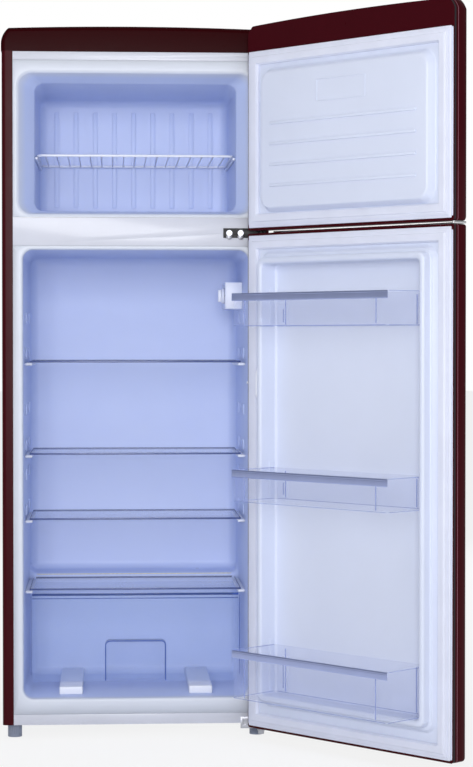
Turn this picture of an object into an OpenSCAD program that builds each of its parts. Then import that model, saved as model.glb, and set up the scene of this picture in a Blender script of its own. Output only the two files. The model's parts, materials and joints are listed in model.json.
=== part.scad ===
// Two-door refrigerator with the freezer on top, in a rounded painted cabinet.
// Millimetres. +Z is up, the doors face -Y, and the origin lies on the floor,
// midway between the four feet. Both doors stand open about their right-hand hinges.

/* [Overall] */
// Width of the painted cabinet
body_w = 540; // [500:1:600]
// Height from the floor to the top of the crown
body_h = 1440; // [1400:1:1500]
// Depth of the cabinet without doors and condenser
cabinet_d = 500; // [480:1:560]
// Height of the cabinet's underside above the floor
foot_h = 27; // [22:1:40]
// Angle at which both doors stand open, in degrees
door_angle = 131; // [100:1:135]

/* [Cabinet] */
// Thickness of the painted sheet
skin_t = 1; // [0.8:0.1:1.5]
// Width of the painted return at each side of the front
return_w = 22; // [18:1:26]
// Height of the top cap, from its lower edge to the crown
cap_h = 51; // [46:1:60]
// Corner radius of the cap and of the freezer door's top
cap_r = 42; // [30:1:45]
// Rise of the crown over the width of the cabinet
crown_rise = 5; // [3:0.5:8]
// How far the cap stands out past each side
cap_overhang = 1.5; // [0.5:0.5:2]
// Height of the rail above the freezer mouth
top_rail_h = 18; // [14:1:22]
// Depth of the front rails
rail_d = 10; // [8:1:14]
// Height of the bottom front rail
bottom_rail_h = 21; // [18:1:24]

/* [Compartments] */
// Thickness of the moulded liners
liner_t = 2; // [1.5:0.1:2.5]
// Lower edge of the rail between the two mouths
mullion_z = 997; // [980:1:1010]
// Height of the rail between the two mouths
mullion_h = 57; // [50:1:64]
// Thickness of the wall beside the freezer mouth
mouth_wall = 34; // [30:1:45]
// Thickness of the wall beside the freezer compartment
freezer_wall = 64; // [60:1:75]
// Depth of the flared freezer mouth
flare_d = 60; // [40:1:80]
// Thickness of the wall behind the freezer compartment
freezer_back = 120; // [100:1:160]
// Thickness of the wall beside the fresh food compartment
fridge_wall = 42; // [40:1:50]
// Thickness of the wall behind the fresh food compartment
fridge_back = 80; // [70:1:100]
// Height of its floor above the cabinet's underside
floor_h = 53; // [49:1:59]
// Corner radius of the fresh food compartment
fridge_r = 20; // [14:1:26]
// Distance of the step over the compressor from the cabinet's back
step_back = 168; // [160:1:172]
// Height of the step above the floor of the compartment
step_h = 220; // [216:1:230]

/* [Shelves and drawer] */
// Gap at each end of the glass shelves
shelf_gap = 9; // [8:1:13]
// Depth at which the front edges of the shelves lie
shelf_d = 105; // [104:1:112]
// Thickness of the shelf glass
glass_t = 4; // [3.5:0.5:5]
// Height of the top of the upper glass shelf above the compartment's floor
shelf_top_h = 684; // [660:1:700]
// Height of the top of the middle glass shelf above the compartment's floor
shelf_middle_h = 493; // [485:1:520]
// Height of the top of the lower glass shelf above the compartment's floor
shelf_bottom_h = 358; // [340:1:370]
// Distance of the glass over the drawer below the top of the step
cover_drop = 8; // [6:1:12]
// Height of the top of the freezer shelf above the freezer's floor
freezer_shelf_h = 119; // [90:1:140]
// Gap between the drawer and each wall
drawer_gap = 11; // [10:1:23]
// Gap between the drawer and the step behind it
drawer_back_gap = 10; // [6:1:36]
// Height of the runners that the drawer slides on
runner_h = 16.2; // [15:0.1:20]
// Wall of the drawer
drawer_wall = 2.5; // [2:0.5:3]

/* [Doors] */
// Thickness of a door at its edges
door_edge_t = 43; // [38:1:46]
// How far the outer face bulges past the edges
door_bulge = 12; // [8:1:16]
// Radius of the upright outer corners of the doors
door_corner_r = 12; // [8:1:14]
// Gap between the cabinet and the doors' inner faces, filled by the gasket
gasket_t = 8.5; // [8:0.1:10]
// How far the lower door's top reaches above the lower edge of the rail behind it
door_lap = 23.8; // [22:0.1:25]
// Gap between each door and the middle hinge's arm
arm_gap = 1.1; // [0.8:0.1:2]
// How far the lower door hangs below the cabinet's underside
door_drop = 3; // [2:0.5:4]
// Distance of the hinge line from the cabinet's side
hinge_inset = 18; // [16:1:20]
// Distance of the hinge line in front of the cabinet
hinge_out = 30; // [30:0.5:32]
// Radius of the hinge pins
pin_r = 4; // [3:0.5:4.5]
// Height by which the dykes beside the bins enter the cabinet
dyke_v = 18; // [12:1:20]
// Depth of the recess between the dykes, from the gasket line
recess_v = 25; // [20:1:28]

/* [Door bins] */
// Distance of the bins' fronts in front of the shelves, with the lower door shut
bin_gap = 5; // [4:1:15]
// Wall of the bins
bin_wall = 2; // [1.5:0.5:3]
// Underside of the upper bin above the underside of the recess
bin_top_at = 734; // [720:1:750]
// Height of the upper bin
bin_top_h = 64; // [50:1:80]
// Underside of the middle bin above the underside of the recess
bin_middle_at = 390; // [370:1:395]
// Height of the middle bin
bin_middle_h = 62.5; // [50:0.5:64]
// Underside of the lower bin above the underside of the recess
bin_bottom_at = 3.5; // [1.5:0.5:30]
// Height of the lower bin
bin_bottom_h = 94.5; // [60:0.5:110]
// Height of the metal rail along each bin's front
bin_rail_h = 15; // [12:1:18]

/* [Handles] */
// Distance of the handles from the free edge of the doors
handle_inset = 72; // [60:1:90]
// Distance of the freezer door's handle above that door's bottom
freezer_handle_up = 50; // [40:1:70]
// Distance of the lower door's handle below that door's top
fridge_handle_down = 60; // [50:1:80]
// Length of the freezer door's handle
freezer_handle_l = 150; // [120:5:180]
// Length of the lower door's handle
fridge_handle_l = 220; // [160:5:260]
// Distance of the handle bar's centre from the door
handle_out = 30; // [26:1:32]
// Radius of the handle bar
handle_r = 6; // [5:0.5:8]

/* [Hidden] */
$fn = 48;
fine = 1440;
fit = 0.3;
running = 0.05;
half_w = body_w / 2;
front_y = -cabinet_d / 2;
back_y = cabinet_d / 2;
cap_z = body_h - cap_h;
top_rail_z = cap_z - top_rail_h;
mullion_top = mullion_z + mullion_h;
bottom_rail_z = foot_h;
bottom_rail_top = foot_h + bottom_rail_h;
inner_w = half_w - return_w;
// flange round each mouth, and the slopes of the flared one
sill_h = 7;
lintel_h = 25.5;
flare_up = 9;
flare_down = 15;
ceiling_h = 8;
// freezer mouth and compartment, lower and upper edges
freezer_mouth_x = half_w - mouth_wall;
freezer_x = half_w - freezer_wall;
freezer_d = cabinet_d - freezer_back;
mouth_z0 = mullion_top + sill_h;
mouth_z1 = top_rail_z - lintel_h;
mouth_r = 26;
freezer_z0 = mouth_z0 + flare_up;
freezer_z1 = mouth_z1 - flare_down;
freezer_r = 18;
freezer_shelf_z = freezer_z0 + freezer_shelf_h;
freezer_shelf_t = 6;
// fresh food compartment
fridge_x = half_w - fridge_wall;
fridge_d = cabinet_d - fridge_back;
fridge_floor_z = foot_h + floor_h;
fridge_z1 = mullion_z - ceiling_h;
step_d = cabinet_d - step_back;
step_z = fridge_floor_z + step_h;
ledge_h = 6;
ledge_w = 15;
freezer_ledge_w = 6;
// shelves and drawer
shelf_x = fridge_x - shelf_gap;
shelf_top_z = fridge_floor_z + shelf_top_h;
shelf_middle_z = fridge_floor_z + shelf_middle_h;
shelf_bottom_z = fridge_floor_z + shelf_bottom_h;
crisper_cover_z = step_z - cover_drop;
drawer_x = fridge_x - drawer_gap;
drawer_z = fridge_floor_z + runner_h + fit;
runner_x = 133;
runner_half = 24;
runner_d = shelf_d - 55;
// flanges of the liners
fridge_flange_z0 = bottom_rail_top + fit;
fridge_flange_z1 = mullion_z - fit;
freezer_flange_z0 = mullion_top + fit;
freezer_flange_z1 = top_rail_z - fit;
// compartment for the compressor, under the step
step_foam = 32;
bay_d = step_d + step_foam;
bay_z = step_z - step_foam - 6;
bay_centre_d = (bay_d + cabinet_d) / 2;
pan_t = 2;
pan_z = foot_h + pan_t;
// hinge line and door planes
door_half = half_w - 1;
pivot_x = half_w - hinge_inset;
pivot_y = front_y - hinge_out;
gasket_y = front_y - fit;
inner_y = gasket_y - gasket_t;
edge_y = inner_y - door_edge_t;
face_r = (door_half * door_half + door_bulge * door_bulge) / (2 * door_bulge);
crown_half = half_w + cap_overhang;
crown_r = (crown_half * crown_half + crown_rise * crown_rise) / (2 * crown_rise);
door_sheet = 1;
arm_t = 3.5;
fridge_door_bottom = foot_h - door_drop;
fridge_door_top = mullion_z + door_lap;
freezer_door_bottom = fridge_door_top + arm_t + 2 * arm_gap;
freezer_liner_z0 = freezer_door_bottom + 8.5;
freezer_liner_z1 = cap_z - 6.5;
fridge_liner_z0 = fridge_door_bottom + 6;
fridge_liner_z1 = fridge_door_top - 10.8;
// raised panel of the freezer door, inside the freezer mouth
plateau_x = freezer_mouth_x - 19;
plateau_v = 8;
plateau_z0 = mouth_z0 + 8;
plateau_z1 = mouth_z1 - 7.5;
rib_z = plateau_z0 + 42;
rib_pitch = 41;
rib_h = 4;
field_x = 64;
field_z0 = plateau_z0 + 200;
field_z1 = plateau_z1 - 25;
// dykes of the lower door inside the fresh food mouth, and the recess between them
dyke_x = fridge_x - 9;
mound_x = dyke_x + 7;
dyke_z0 = fridge_floor_z + 6;
dyke_z1 = fridge_z1 - 18;
recess_x = dyke_x - 13.5;
recess_z0 = fridge_floor_z + 20;
recess_z1 = dyke_z1 - 14.2;
recess_r = 6;
base_v = -recess_v - 3;
bin_x = recess_x - 2;
bin_v = shelf_d - bin_gap;
bin_back_v = -recess_v + 4;
bin_top_z = recess_z0 + bin_top_at;
bin_middle_z = recess_z0 + bin_middle_at;
bin_bottom_z = recess_z0 + bin_bottom_at;
// hinge plates
plate_t = 2.2;
arm_half = 7;
middle_arm_z = fridge_door_top + arm_gap;
top_arm_z = cap_z - 4.8;
slot_z0 = top_arm_z - 1.2;
slot_z1 = cap_z;
slot_skin = 0.8;
slot_reach = pivot_y - edge_y - slot_skin;
bottom_arm_z = fridge_door_bottom - 7.5;
pin_l = 16;
bush_r = 8;
bush_l = 16;
screw_r = 2;
screw_l = 9.5;
head_r = 4;
plate_z_lap = 19.4;
middle_screw_x = [pivot_x - 63, pivot_x - 40];
top_screw_x = [pivot_x - 16];
bottom_screw_x = [pivot_x - 30, pivot_x - 16];
middle_screw_z = middle_arm_z + 1.4;
top_screw_z = cap_z - 9.5;
bottom_screw_z = bottom_arm_z + 12;
// feet
foot_x = half_w - 23.5;
foot_d = 30;
foot_r = 14.3;
foot_y = cabinet_d / 2 - foot_d;
stud_r = 4;
stud_l = 16;
boss_r = 11;
// thermostat housing and lamp switch on the right wall
housing_x = fridge_x - 36;
housing_z0 = fridge_z1 - 116;
housing_z1 = fridge_z1 - 60;
housing_d0 = 205;
housing_d1 = 335;
knob_d = 250;
knob_z = (housing_z0 + housing_z1) / 2;
knob_r = 16;
knob_h = 13;
shaft_r = 3;
lamp_d = 300;
switch_z = 720;
switch_d = 12;
switch_proud = 2.5;
plunger_r = 3;
striker_x = fridge_x - 3;
// compressor and what stands round it
compressor_x = 100;
compressor_d = bay_centre_d + 1;
compressor_r = 60;
compressor_z0 = pan_z + 16;
compressor_h = 132;
grommet_h = 13;
grommet_x = 72;
grommet_y = 44;
tray_z = compressor_z0 + compressor_h + fit;
tray_h = 26;
tray_x = 70;
tray_y = 56;
tray_wall = 2;
drain_x = compressor_x + 40;
drain_d = fridge_d - 12;
drain_r = 6;
drain_wall = 1.6;
drier_x = -40;
drier_d = bay_centre_d + 23;
drier_r = 8;
// condenser on the back
coil_r = 2.5;
coil_y = back_y + 11;
coil_x = half_w - 65;
coil_z0 = bay_z + 58;
coil_pitch = 56;
coil_runs = floor((cap_z - 60 - coil_z0) / coil_pitch) + 1;
coil_z1 = coil_z0 + (coil_runs - 1) * coil_pitch;
wire_r = 0.8;
wire_count = 26;
evap_t = 1.5;
sheet_x = fridge_x - 48;
sheet_z0 = shelf_bottom_z + 62;
sheet_z1 = shelf_top_z + 136;
gland_x = -160;
gland_z = pan_z + 27;
gland_r = 9;

// ---------- shared shapes ----------

// Box between two corners.
module block(low, high) {
  translate(low) cube(high - low);
}

// Flat rectangle with rounded corners, in its own X and Y.
module round_rect(x0, y0, x1, y1, r) {
  translate([x0 + r, y0]) square([x1 - x0 - 2 * r, y1 - y0]);
  translate([x0, y0 + r]) square([x1 - x0, y1 - y0 - 2 * r]);
  for (x = [x0 + r, x1 - r], y = [y0 + r, y1 - r]) translate([x, y]) circle(r);
}

// Carries a flat outline in X and Z from y0 back to y1.
module upright(y0, y1) {
  translate([0, y1, 0]) rotate([90, 0, 0]) linear_extrude(y1 - y0) children();
}

// The same, between two depths behind the cabinet's front.
module front_slab(d0, d1) {
  upright(front_y + d0, front_y + d1) children();
}

// Straight pipe between two points.
module pipe_run(a, b, r) {
  v = b - a;
  l = norm(v);
  translate(a) rotate([0, acos(v[2] / l), atan2(v[1], v[0])]) cylinder(h = l, r = r);
}

// Pipe along a list of points, with a brazed ball at each bend.
module pipe(points, r) {
  braze = 0.4;
  for (i = [0 : len(points) - 2]) pipe_run(points[i], points[i + 1], r);
  for (i = [1 : len(points) - 2]) translate(points[i]) sphere(r + braze);
}

// Turns a part of a door from closed to its open pose about the hinge line.
module opened() {
  translate([pivot_x, pivot_y, 0]) rotate([0, 0, door_angle]) translate([-pivot_x, -pivot_y, 0])
    children();
}

// Outline of the crown, seen from the front: rounded top corners under a shallow arc.
module crown_outline(inset, z0) {
  intersection() {
    round_rect(-crown_half + inset, z0 - cap_r, crown_half - inset, body_h - inset + crown_rise,
      cap_r - inset);
    translate([0, body_h - inset - crown_r]) circle(crown_r, $fn = fine);
    translate([-crown_half, z0]) square([2 * crown_half, body_h]);
  }
}

// ---------- cabinet ----------

// Painted wrap: two sides with their front returns, and the sheet under the cap.
module outer_shell() {
  color("#3a1218") {
    for (s = [-1, 1]) {
      x_out = s * half_w;
      x_in = s * (half_w - skin_t);
      x_ret = s * inner_w;
      block([min(x_out, x_in), front_y, foot_h], [max(x_out, x_in), back_y, cap_z]);
      block([min(x_out, x_ret), front_y, foot_h], [max(x_out, x_ret), front_y + skin_t, cap_z]);
    }
    block([-half_w, front_y, cap_z - skin_t], [half_w, back_y, cap_z]);
  }
}

// Hollow cap with a crowned top and rounded corners.
module top_cap() {
  cap_wall = 2.5;
  color("#2d0206") difference() {
    upright(front_y, back_y) crown_outline(0, cap_z);
    upright(front_y + cap_wall, back_y - cap_wall) crown_outline(cap_wall, cap_z - 1);
  }
}

// Bent sheet: the back, then in over the compressor bay and down its front wall.
module back_panel() {
  t = skin_t;
  x = half_w - skin_t - fit;
  color("#4a4c50") difference() {
    union() {
      block([-x, back_y - t, bay_z], [x, back_y, cap_z - skin_t - fit]);
      block([-x, front_y + bay_d, bay_z], [x, back_y, bay_z + t]);
      block([-x, front_y + bay_d, pan_z + fit], [x, front_y + bay_d + t, bay_z + t]);
    }
    translate([drain_x, front_y + drain_d, bay_z - 1])
      cylinder(h = t + 2, r = drain_r + drain_wall + fit);
  }
}

// Rails across the front: over the freezer, between the mouths, and along the bottom.
module front_rails() {
  x = inner_w - fit;
  color("#dcdff0") difference() {
    union() {
      block([-x, front_y, top_rail_z], [x, front_y + rail_d, cap_z - skin_t - fit]);
      block([-x, front_y, mullion_z], [x, front_y + rail_d, mullion_top]);
      block([-x, front_y, bottom_rail_z], [x, front_y + rail_d, bottom_rail_top]);
    }
    at_screws() translate([0, 0, -1]) cylinder(h = screw_l + 2, r = screw_r + running);
  }
}

// One liner flange around a mouth.
module flange(z0, z1) {
  translate([-inner_w + fit, z0]) square([2 * (inner_w - fit), z1 - z0]);
}

// Room inside the freezer, grown outwards by a wall.
module freezer_room(g) {
  hull() {
    front_slab(-1, 0) round_rect(-freezer_mouth_x - g, mouth_z0 - g, freezer_mouth_x + g,
      mouth_z1 + g, mouth_r);
    front_slab(flare_d, flare_d + 1) round_rect(-freezer_x - g, freezer_z0 - g, freezer_x + g,
      freezer_z1 + g, freezer_r);
  }
  front_slab(flare_d, freezer_d + g) round_rect(-freezer_x - g, freezer_z0 - g, freezer_x + g,
    freezer_z1 + g, freezer_r);
}

// Freezer liner, with upright ribs on the back wall.
module freezer_liner() {
  rib_half = 4;
  rib_gap = 42;
  color("#b0bdea") {
    difference() {
      union() {
        front_slab(0, liner_t) flange(freezer_flange_z0, freezer_flange_z1);
        intersection() {
          freezer_room(liner_t);
          front_slab(0, freezer_d + 10) flange(mullion_top, top_rail_z);
        }
      }
      freezer_room(0);
    }
    for (i = [-4 : 4])
      block([i * rib_gap - rib_half, front_y + freezer_d - 2, freezer_z0 + 20],
        [i * rib_gap + rib_half, front_y + freezer_d + liner_t / 2, freezer_z1 - 20]);
  }
}

// Room inside the fresh food compartment, grown outwards by a wall.
module fridge_room(g) {
  difference() {
    front_slab(-1, fridge_d + g) round_rect(-fridge_x - g, fridge_floor_z - g, fridge_x + g,
      fridge_z1 + g, fridge_r);
    block([-half_w, front_y + step_d + g, 0], [half_w, back_y, step_z - g]);
  }
}

// Fresh food liner, with the drain in the step and a hole for the switch plunger.
module fridge_liner() {
  color("#b0bdea") difference() {
    union() {
      front_slab(0, liner_t) flange(fridge_flange_z0, fridge_flange_z1);
      intersection() {
        fridge_room(liner_t);
        front_slab(0, fridge_d + 10) flange(bottom_rail_top, mullion_z);
      }
    }
    fridge_room(0);
    translate([drain_x, front_y + drain_d, step_z - 10]) cylinder(h = 20, r = drain_r);
    translate([fridge_x - 5, front_y + switch_d, switch_z]) rotate([0, 90, 0])
      cylinder(h = 12, r = plunger_r + fit);
  }
}

// Supports inside both compartments: a ledge under each end of each shelf, and two
// runners on the floor for the drawer.
module shelf_supports() {
  color("#dfe3f4") {
    for (z = [shelf_top_z, shelf_middle_z, shelf_bottom_z, crisper_cover_z], s = [-1, 1])
      side_ledge(s, fridge_x, ledge_w, z - glass_t - fit, shelf_d, step_d);
    for (s = [-1, 1])
      side_ledge(s, freezer_x, freezer_ledge_w, freezer_shelf_z - freezer_shelf_t - fit,
        flare_d + 20, freezer_d);
    for (s = [-1, 1])
      block([s * runner_x - runner_half, front_y + runner_d, fridge_floor_z],
        [s * runner_x + runner_half, front_y + step_d - 20, fridge_floor_z + runner_h]);
  }
}

// Ledge of width w along the left (s = -1) or right wall at x, with its top at z.
module side_ledge(s, x, w, z, d0, d1) {
  x0 = min(s * x, s * (x - w));
  block([x0, front_y + d0, z - ledge_h], [x0 + w, front_y + d1, z]);
}

// Insulation between the shell and both liners.
module cabinet_foam() {
  x = half_w - skin_t - fit;
  gap = liner_t + fit;
  color("#e8d9a0") difference() {
    block([-x, front_y + rail_d + fit, pan_z + fit],
      [x, back_y - skin_t - fit, cap_z - skin_t - fit]);
    freezer_room(gap);
    fridge_room(gap);
    block([-half_w, front_y + bay_d - fit, 0], [half_w, back_y + 1, bay_z + skin_t + fit]);
    at_feet() translate([0, 0, foot_h]) cylinder(h = stud_l + 4 + fit, r = boss_r + fit);
    translate([drain_x, front_y + drain_d, bay_z - 1])
      cylinder(h = step_z - bay_z, r = drain_r + drain_wall + fit);
    evaporator_sheets(fit);
    block([fridge_x, front_y + rail_d, switch_z - 9],
      [fridge_x + 24, front_y + switch_d + 12, switch_z + 9]);
  }
}

// Places children at the four feet, on the floor.
module at_feet() {
  for (x = [-foot_x, foot_x], y = [-foot_y, foot_y]) translate([x, y, 0]) children();
}

// Steel pan under the cabinet, with a threaded boss over each foot and a lip at the back.
module base_pan() {
  x = half_w - skin_t - fit;
  color("#8a8f98") difference() {
    union() {
      block([-x, front_y + rail_d + fit, foot_h], [x, back_y, pan_z]);
      at_feet() translate([0, 0, foot_h]) cylinder(h = stud_l + 4, r = boss_r);
      block([gland_x - 34, back_y - pan_t, foot_h], [gland_x + 34, back_y, gland_z + 22]);
    }
    at_feet() translate([0, 0, foot_h - 1]) cylinder(h = stud_l + 6, r = stud_r + running);
    translate([gland_x, back_y - pan_t - 1, gland_z]) rotate([-90, 0, 0])
      cylinder(h = pan_t + 2, r = gland_r - 3);
  }
}

// Rubber-lined inlet for the supply lead, without its lead.
module cord_gland() {
  color("#202124") translate([gland_x, back_y + fit, gland_z]) rotate([-90, 0, 0])
    difference() {
      union() {
        cylinder(h = 3, r = gland_r);
        translate([0, 0, 3]) cylinder(h = 5, r = gland_r - 2.5);
        translate([0, 0, -pan_t - 2 * fit]) cylinder(h = pan_t + 2 * fit, r = gland_r - 3 - running);
      }
      translate([0, 0, -pan_t - 1]) cylinder(h = 12, r = 4);
    }
}

// ---------- cooling circuit ----------

// Sealed compressor: a round can with domed ends on a foot plate.
module compressor() {
  r = compressor_r;
  h = compressor_h;
  dome = 22;
  color("#1c1d20") translate([compressor_x, front_y + compressor_d, compressor_z0]) difference() {
    union() {
      rotate_extrude() intersection() {
        union() {
          square([r, h - dome]);
          translate([0, h - dome]) square([r - dome, dome]);
          translate([r - dome, h - dome]) circle(dome);
        }
        square([r, h]);
      }
      block([-grommet_x - 14, -grommet_y - 12, -3], [grommet_x + 14, grommet_y + 12, 0]);
      translate([-r - 6, 0, h * 0.6]) rotate([0, 90, 0]) cylinder(h = 20, r = 4);
    }
    for (x = [-grommet_x, grommet_x], y = [-grommet_y, grommet_y])
      translate([x, y, -4]) cylinder(h = 5, r = 5 + running);
  }
}

// Four rubber grommets between the pan and the compressor's foot plate.
module compressor_grommets() {
  color("#26272a") for (x = [-grommet_x, grommet_x], y = [-grommet_y, grommet_y])
    translate([compressor_x + x, front_y + compressor_d + y, pan_z]) {
      cylinder(h = grommet_h, r = 9);
      cylinder(h = grommet_h + 5, r = 5);
    }
}

// Start relay and overload protector under one cover, on the side of the compressor.
module start_relay() {
  x = compressor_x + compressor_r + fit;
  color("#2b2c30") translate([x, front_y + compressor_d, compressor_z0 + 42]) {
    block([0, -18, 0], [24, 18, 46]);
    block([24, -12, 6], [30, 12, 40]);
  }
}

// Open tray on top of the compressor that catches the defrost water.
module evaporation_tray() {
  color("#c9ccd2") translate([compressor_x, front_y + compressor_d, tray_z]) difference() {
    block([-tray_x, -tray_y, 0], [tray_x, tray_y, tray_h]);
    block([-tray_x + tray_wall, -tray_y + tray_wall, tray_wall],
      [tray_x - tray_wall, tray_y - tray_wall, tray_h + 1]);
  }
}

// Tube from the trough in the step down to the tray.
module drain_tube() {
  z0 = tray_z + tray_h - 4;
  color("#d8dade") translate([drain_x, front_y + drain_d, z0]) difference() {
    cylinder(h = step_z - liner_t - fit - z0, r = drain_r + drain_wall);
    translate([0, 0, -1]) cylinder(h = step_z, r = drain_r);
  }
}

// Copper drier with tapered ends, upright beside the compressor.
module filter_drier() {
  color("#b56a3c") translate([drier_x, front_y + drier_d, pan_z + 12]) rotate_extrude() polygon([
    [0, 0], [3, 0], [3, 8], [drier_r, 20], [drier_r, 96], [3, 108], [3, 116], [0, 116]
  ]);
}

// Copper pipes: suction line up the back, and the line from the drier.
module suction_line() {
  y = back_y + 3.4;
  stub = 6;
  inlet = [compressor_x - compressor_r - stub - fit, front_y + compressor_d,
    compressor_z0 + compressor_h * 0.6];
  color("#b56a3c") {
    pipe([inlet, inlet + [-22, 0, 0], [inlet[0] - 22, y, inlet[2] + 20],
      [inlet[0] - 22, y, bay_z + 40], [-coil_x - 32, y, bay_z + 60], [-coil_x - 32, y, mullion_z]], 3);
    pipe([[drier_x, front_y + drier_d, pan_z + 128 + fit], [drier_x, front_y + drier_d, pan_z + 160],
      [drier_x - 80, y, pan_z + 190], [-coil_x - 22, y, bay_z + 40], [-coil_x - 22, y, mullion_z]], 1.6);
  }
}

// Welded condenser: a tube in level runs joined by bends, between two rows of wires.
module condenser() {
  color("#17181a") {
    for (i = [0 : coil_runs - 1])
      translate([-coil_x, coil_y, coil_z0 + i * coil_pitch]) rotate([0, 90, 0])
        cylinder(h = 2 * coil_x, r = coil_r);
    for (i = [0 : coil_runs - 2])
      translate([i % 2 == 0 ? coil_x : -coil_x, coil_y, coil_z0 + (i + 0.5) * coil_pitch])
        rotate([90, 0, 0]) rotate([0, 0, i % 2 == 0 ? -90 : 90])
          rotate_extrude(angle = 180) translate([coil_pitch / 2, 0]) circle(coil_r, $fn = 24);
    for (i = [0 : wire_count - 1], s = [-1, 1])
      translate([-coil_x + 12 + i * (2 * coil_x - 24) / (wire_count - 1),
        coil_y + s * (coil_r + wire_r + 0.1), coil_z0 - 12])
        cylinder(h = coil_z1 - coil_z0 + 24, r = wire_r, $fn = 16);
  }
}

// Stand-off clips that hold the condenser to the back panel.
module condenser_brackets() {
  inner = coil_y - coil_r - 2 * wire_r - 0.1 - fit;
  color("#303236") for (x = [-coil_x + 60, coil_x - 60], z = [coil_z0 + 20, coil_z1 - 34])
    block([x - 12, back_y + fit, z], [x + 12, inner, z + 14]);
}

// Sheets of the two evaporators, grown by a clearance.
module evaporator_sheets(g) {
  x = freezer_x - 20;
  y0 = front_y + flare_d + 20;
  y1 = front_y + freezer_d + liner_t + 0.3;
  z0 = freezer_z0 - liner_t - 0.3;
  z1 = freezer_z1 + liner_t + 0.3;
  block([-x - g, y0 - g, z0 - evap_t - g], [x + g, y1 + evap_t + g, z0 + g]);
  block([-x - g, y0 - g, z1 - g], [x + g, y1 + evap_t + g, z1 + evap_t + g]);
  block([-x - g, y1 - g, z0 - evap_t - g], [x + g, y1 + evap_t + g, z1 + evap_t + g]);
  fridge_sheet(g);
}

// Flat evaporator behind the back wall of the fresh food compartment.
module fridge_sheet(g) {
  y = front_y + fridge_d + liner_t + 0.3;
  block([-sheet_x - g, y - g, sheet_z0 - g], [sheet_x + g, y + evap_t + g, sheet_z1 + g]);
}

// Aluminium sheet wrapped under, behind and over the freezer liner.
module freezer_evaporator() {
  color("#c6cad0") difference() {
    evaporator_sheets(0);
    block([-half_w, front_y, 0], [half_w, back_y, mullion_z]);
  }
}

module fridge_evaporator() {
  color("#c6cad0") fridge_sheet(0);
}

// ---------- feet ----------

// Levelling foot: a ribbed pad and its threaded stud.
module levelling_foot(x) {
  pad_h = foot_h - 0.6;
  color("#8f97ac") translate([x, -foot_y, 0]) {
    difference() {
      cylinder(h = pad_h, r = foot_r);
      for (a = [0 : 15 : 345]) rotate([0, 0, a]) translate([foot_r, 0, 5])
        cylinder(h = pad_h, r = 0.9, $fn = 16);
    }
    translate([0, 0, pad_h - 1]) cylinder(h = stud_l + 1, r = stud_r);
  }
}

module front_left_foot() {
  levelling_foot(-foot_x);
}

module front_right_foot() {
  levelling_foot(foot_x);
}

// Fixed glides at the back, each on a plain stud.
module rear_feet() {
  color("#3c3f45") for (s = [-1, 1]) translate([s * foot_x, foot_y, 0]) {
    cylinder(h = foot_h - fit, r = foot_r);
    cylinder(h = foot_h + stud_l, r = stud_r);
  }
}

// ---------- hinges ----------

// Places children at every hinge screw, with +Z pointing into the cabinet.
module at_screws() {
  for (x = middle_screw_x) translate([x, front_y, middle_screw_z]) rotate([-90, 0, 0]) children();
  for (x = top_screw_x) translate([x, front_y, top_screw_z]) rotate([-90, 0, 0]) children();
  for (x = bottom_screw_x) translate([x, front_y, bottom_screw_z]) rotate([-90, 0, 0]) children();
}

// Arm that reaches from the cabinet's front to the hinge line, round at its end.
module hinge_arm(z, t) {
  block([pivot_x - arm_half, pivot_y, z], [pivot_x + arm_half, front_y, z + t]);
  translate([pivot_x, pivot_y, z]) cylinder(h = t, r = arm_half);
}

// Holes through the hinge plates, sunk for the flush heads of the top and bottom ones.
module plate_holes() {
  at_screws() translate([0, 0, -plate_t - 1]) cylinder(h = plate_t + 2, r = screw_r + running);
  for (x = top_screw_x) translate([x, front_y - plate_t - 1, top_screw_z]) rotate([-90, 0, 0])
    cylinder(h = 2.6, r = head_r + 0.1);
  for (x = bottom_screw_x) translate([x, front_y - plate_t - 1, bottom_screw_z]) rotate([-90, 0, 0])
    cylinder(h = 2.6, r = head_r + 0.1);
}

module top_hinge() {
  color("#c8cacf") difference() {
    union() {
      block([pivot_x - 23, front_y - plate_t, cap_z - 15.5], [pivot_x + 10, front_y, cap_z - 1.5]);
      hinge_arm(top_arm_z, 3);
      translate([pivot_x, pivot_y, top_arm_z - pin_l]) cylinder(h = pin_l + 1, r = pin_r);
    }
    plate_holes();
  }
}

module middle_hinge() {
  z = middle_arm_z - 8.3;
  color("#1a1a1d") difference() {
    union() {
      block([pivot_x - 75, front_y - plate_t, z], [pivot_x + 12, front_y, z + plate_z_lap]);
      hinge_arm(middle_arm_z, arm_t);
      translate([pivot_x, pivot_y, middle_arm_z - pin_l]) cylinder(h = 2 * pin_l + arm_t, r = pin_r);
    }
    plate_holes();
  }
}

module bottom_hinge() {
  color("#c8cacf") difference() {
    union() {
      block([pivot_x - 40, front_y - plate_t, bottom_arm_z],
        [pivot_x + 10, front_y, fridge_door_bottom + 16]);
      hinge_arm(bottom_arm_z, arm_t);
      translate([pivot_x, pivot_y, bottom_arm_z - 6]) cylinder(h = 6, r = 6);
      translate([pivot_x, pivot_y, bottom_arm_z]) cylinder(h = pin_l + arm_t + 3, r = pin_r);
    }
    plate_holes();
  }
}

// Screws of the three hinges: round heads in the middle, flush heads above and below.
module hinge_screws() {
  color("#d6d8dc") {
    at_screws() translate([0, 0, -plate_t]) cylinder(h = plate_t + screw_l, r = screw_r);
    for (x = middle_screw_x) translate([x, front_y - plate_t - 2.3, middle_screw_z]) rotate([-90, 0, 0])
      cylinder(h = 2.3, r = 6);
    for (x = top_screw_x) translate([x, front_y - plate_t + 0.1, top_screw_z]) rotate([-90, 0, 0])
      cylinder(h = 1.5, r = head_r);
    for (x = bottom_screw_x) translate([x, front_y - plate_t + 0.1, bottom_screw_z]) rotate([-90, 0, 0])
      cylinder(h = 1.5, r = head_r);
  }
}

// ---------- controls ----------

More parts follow.
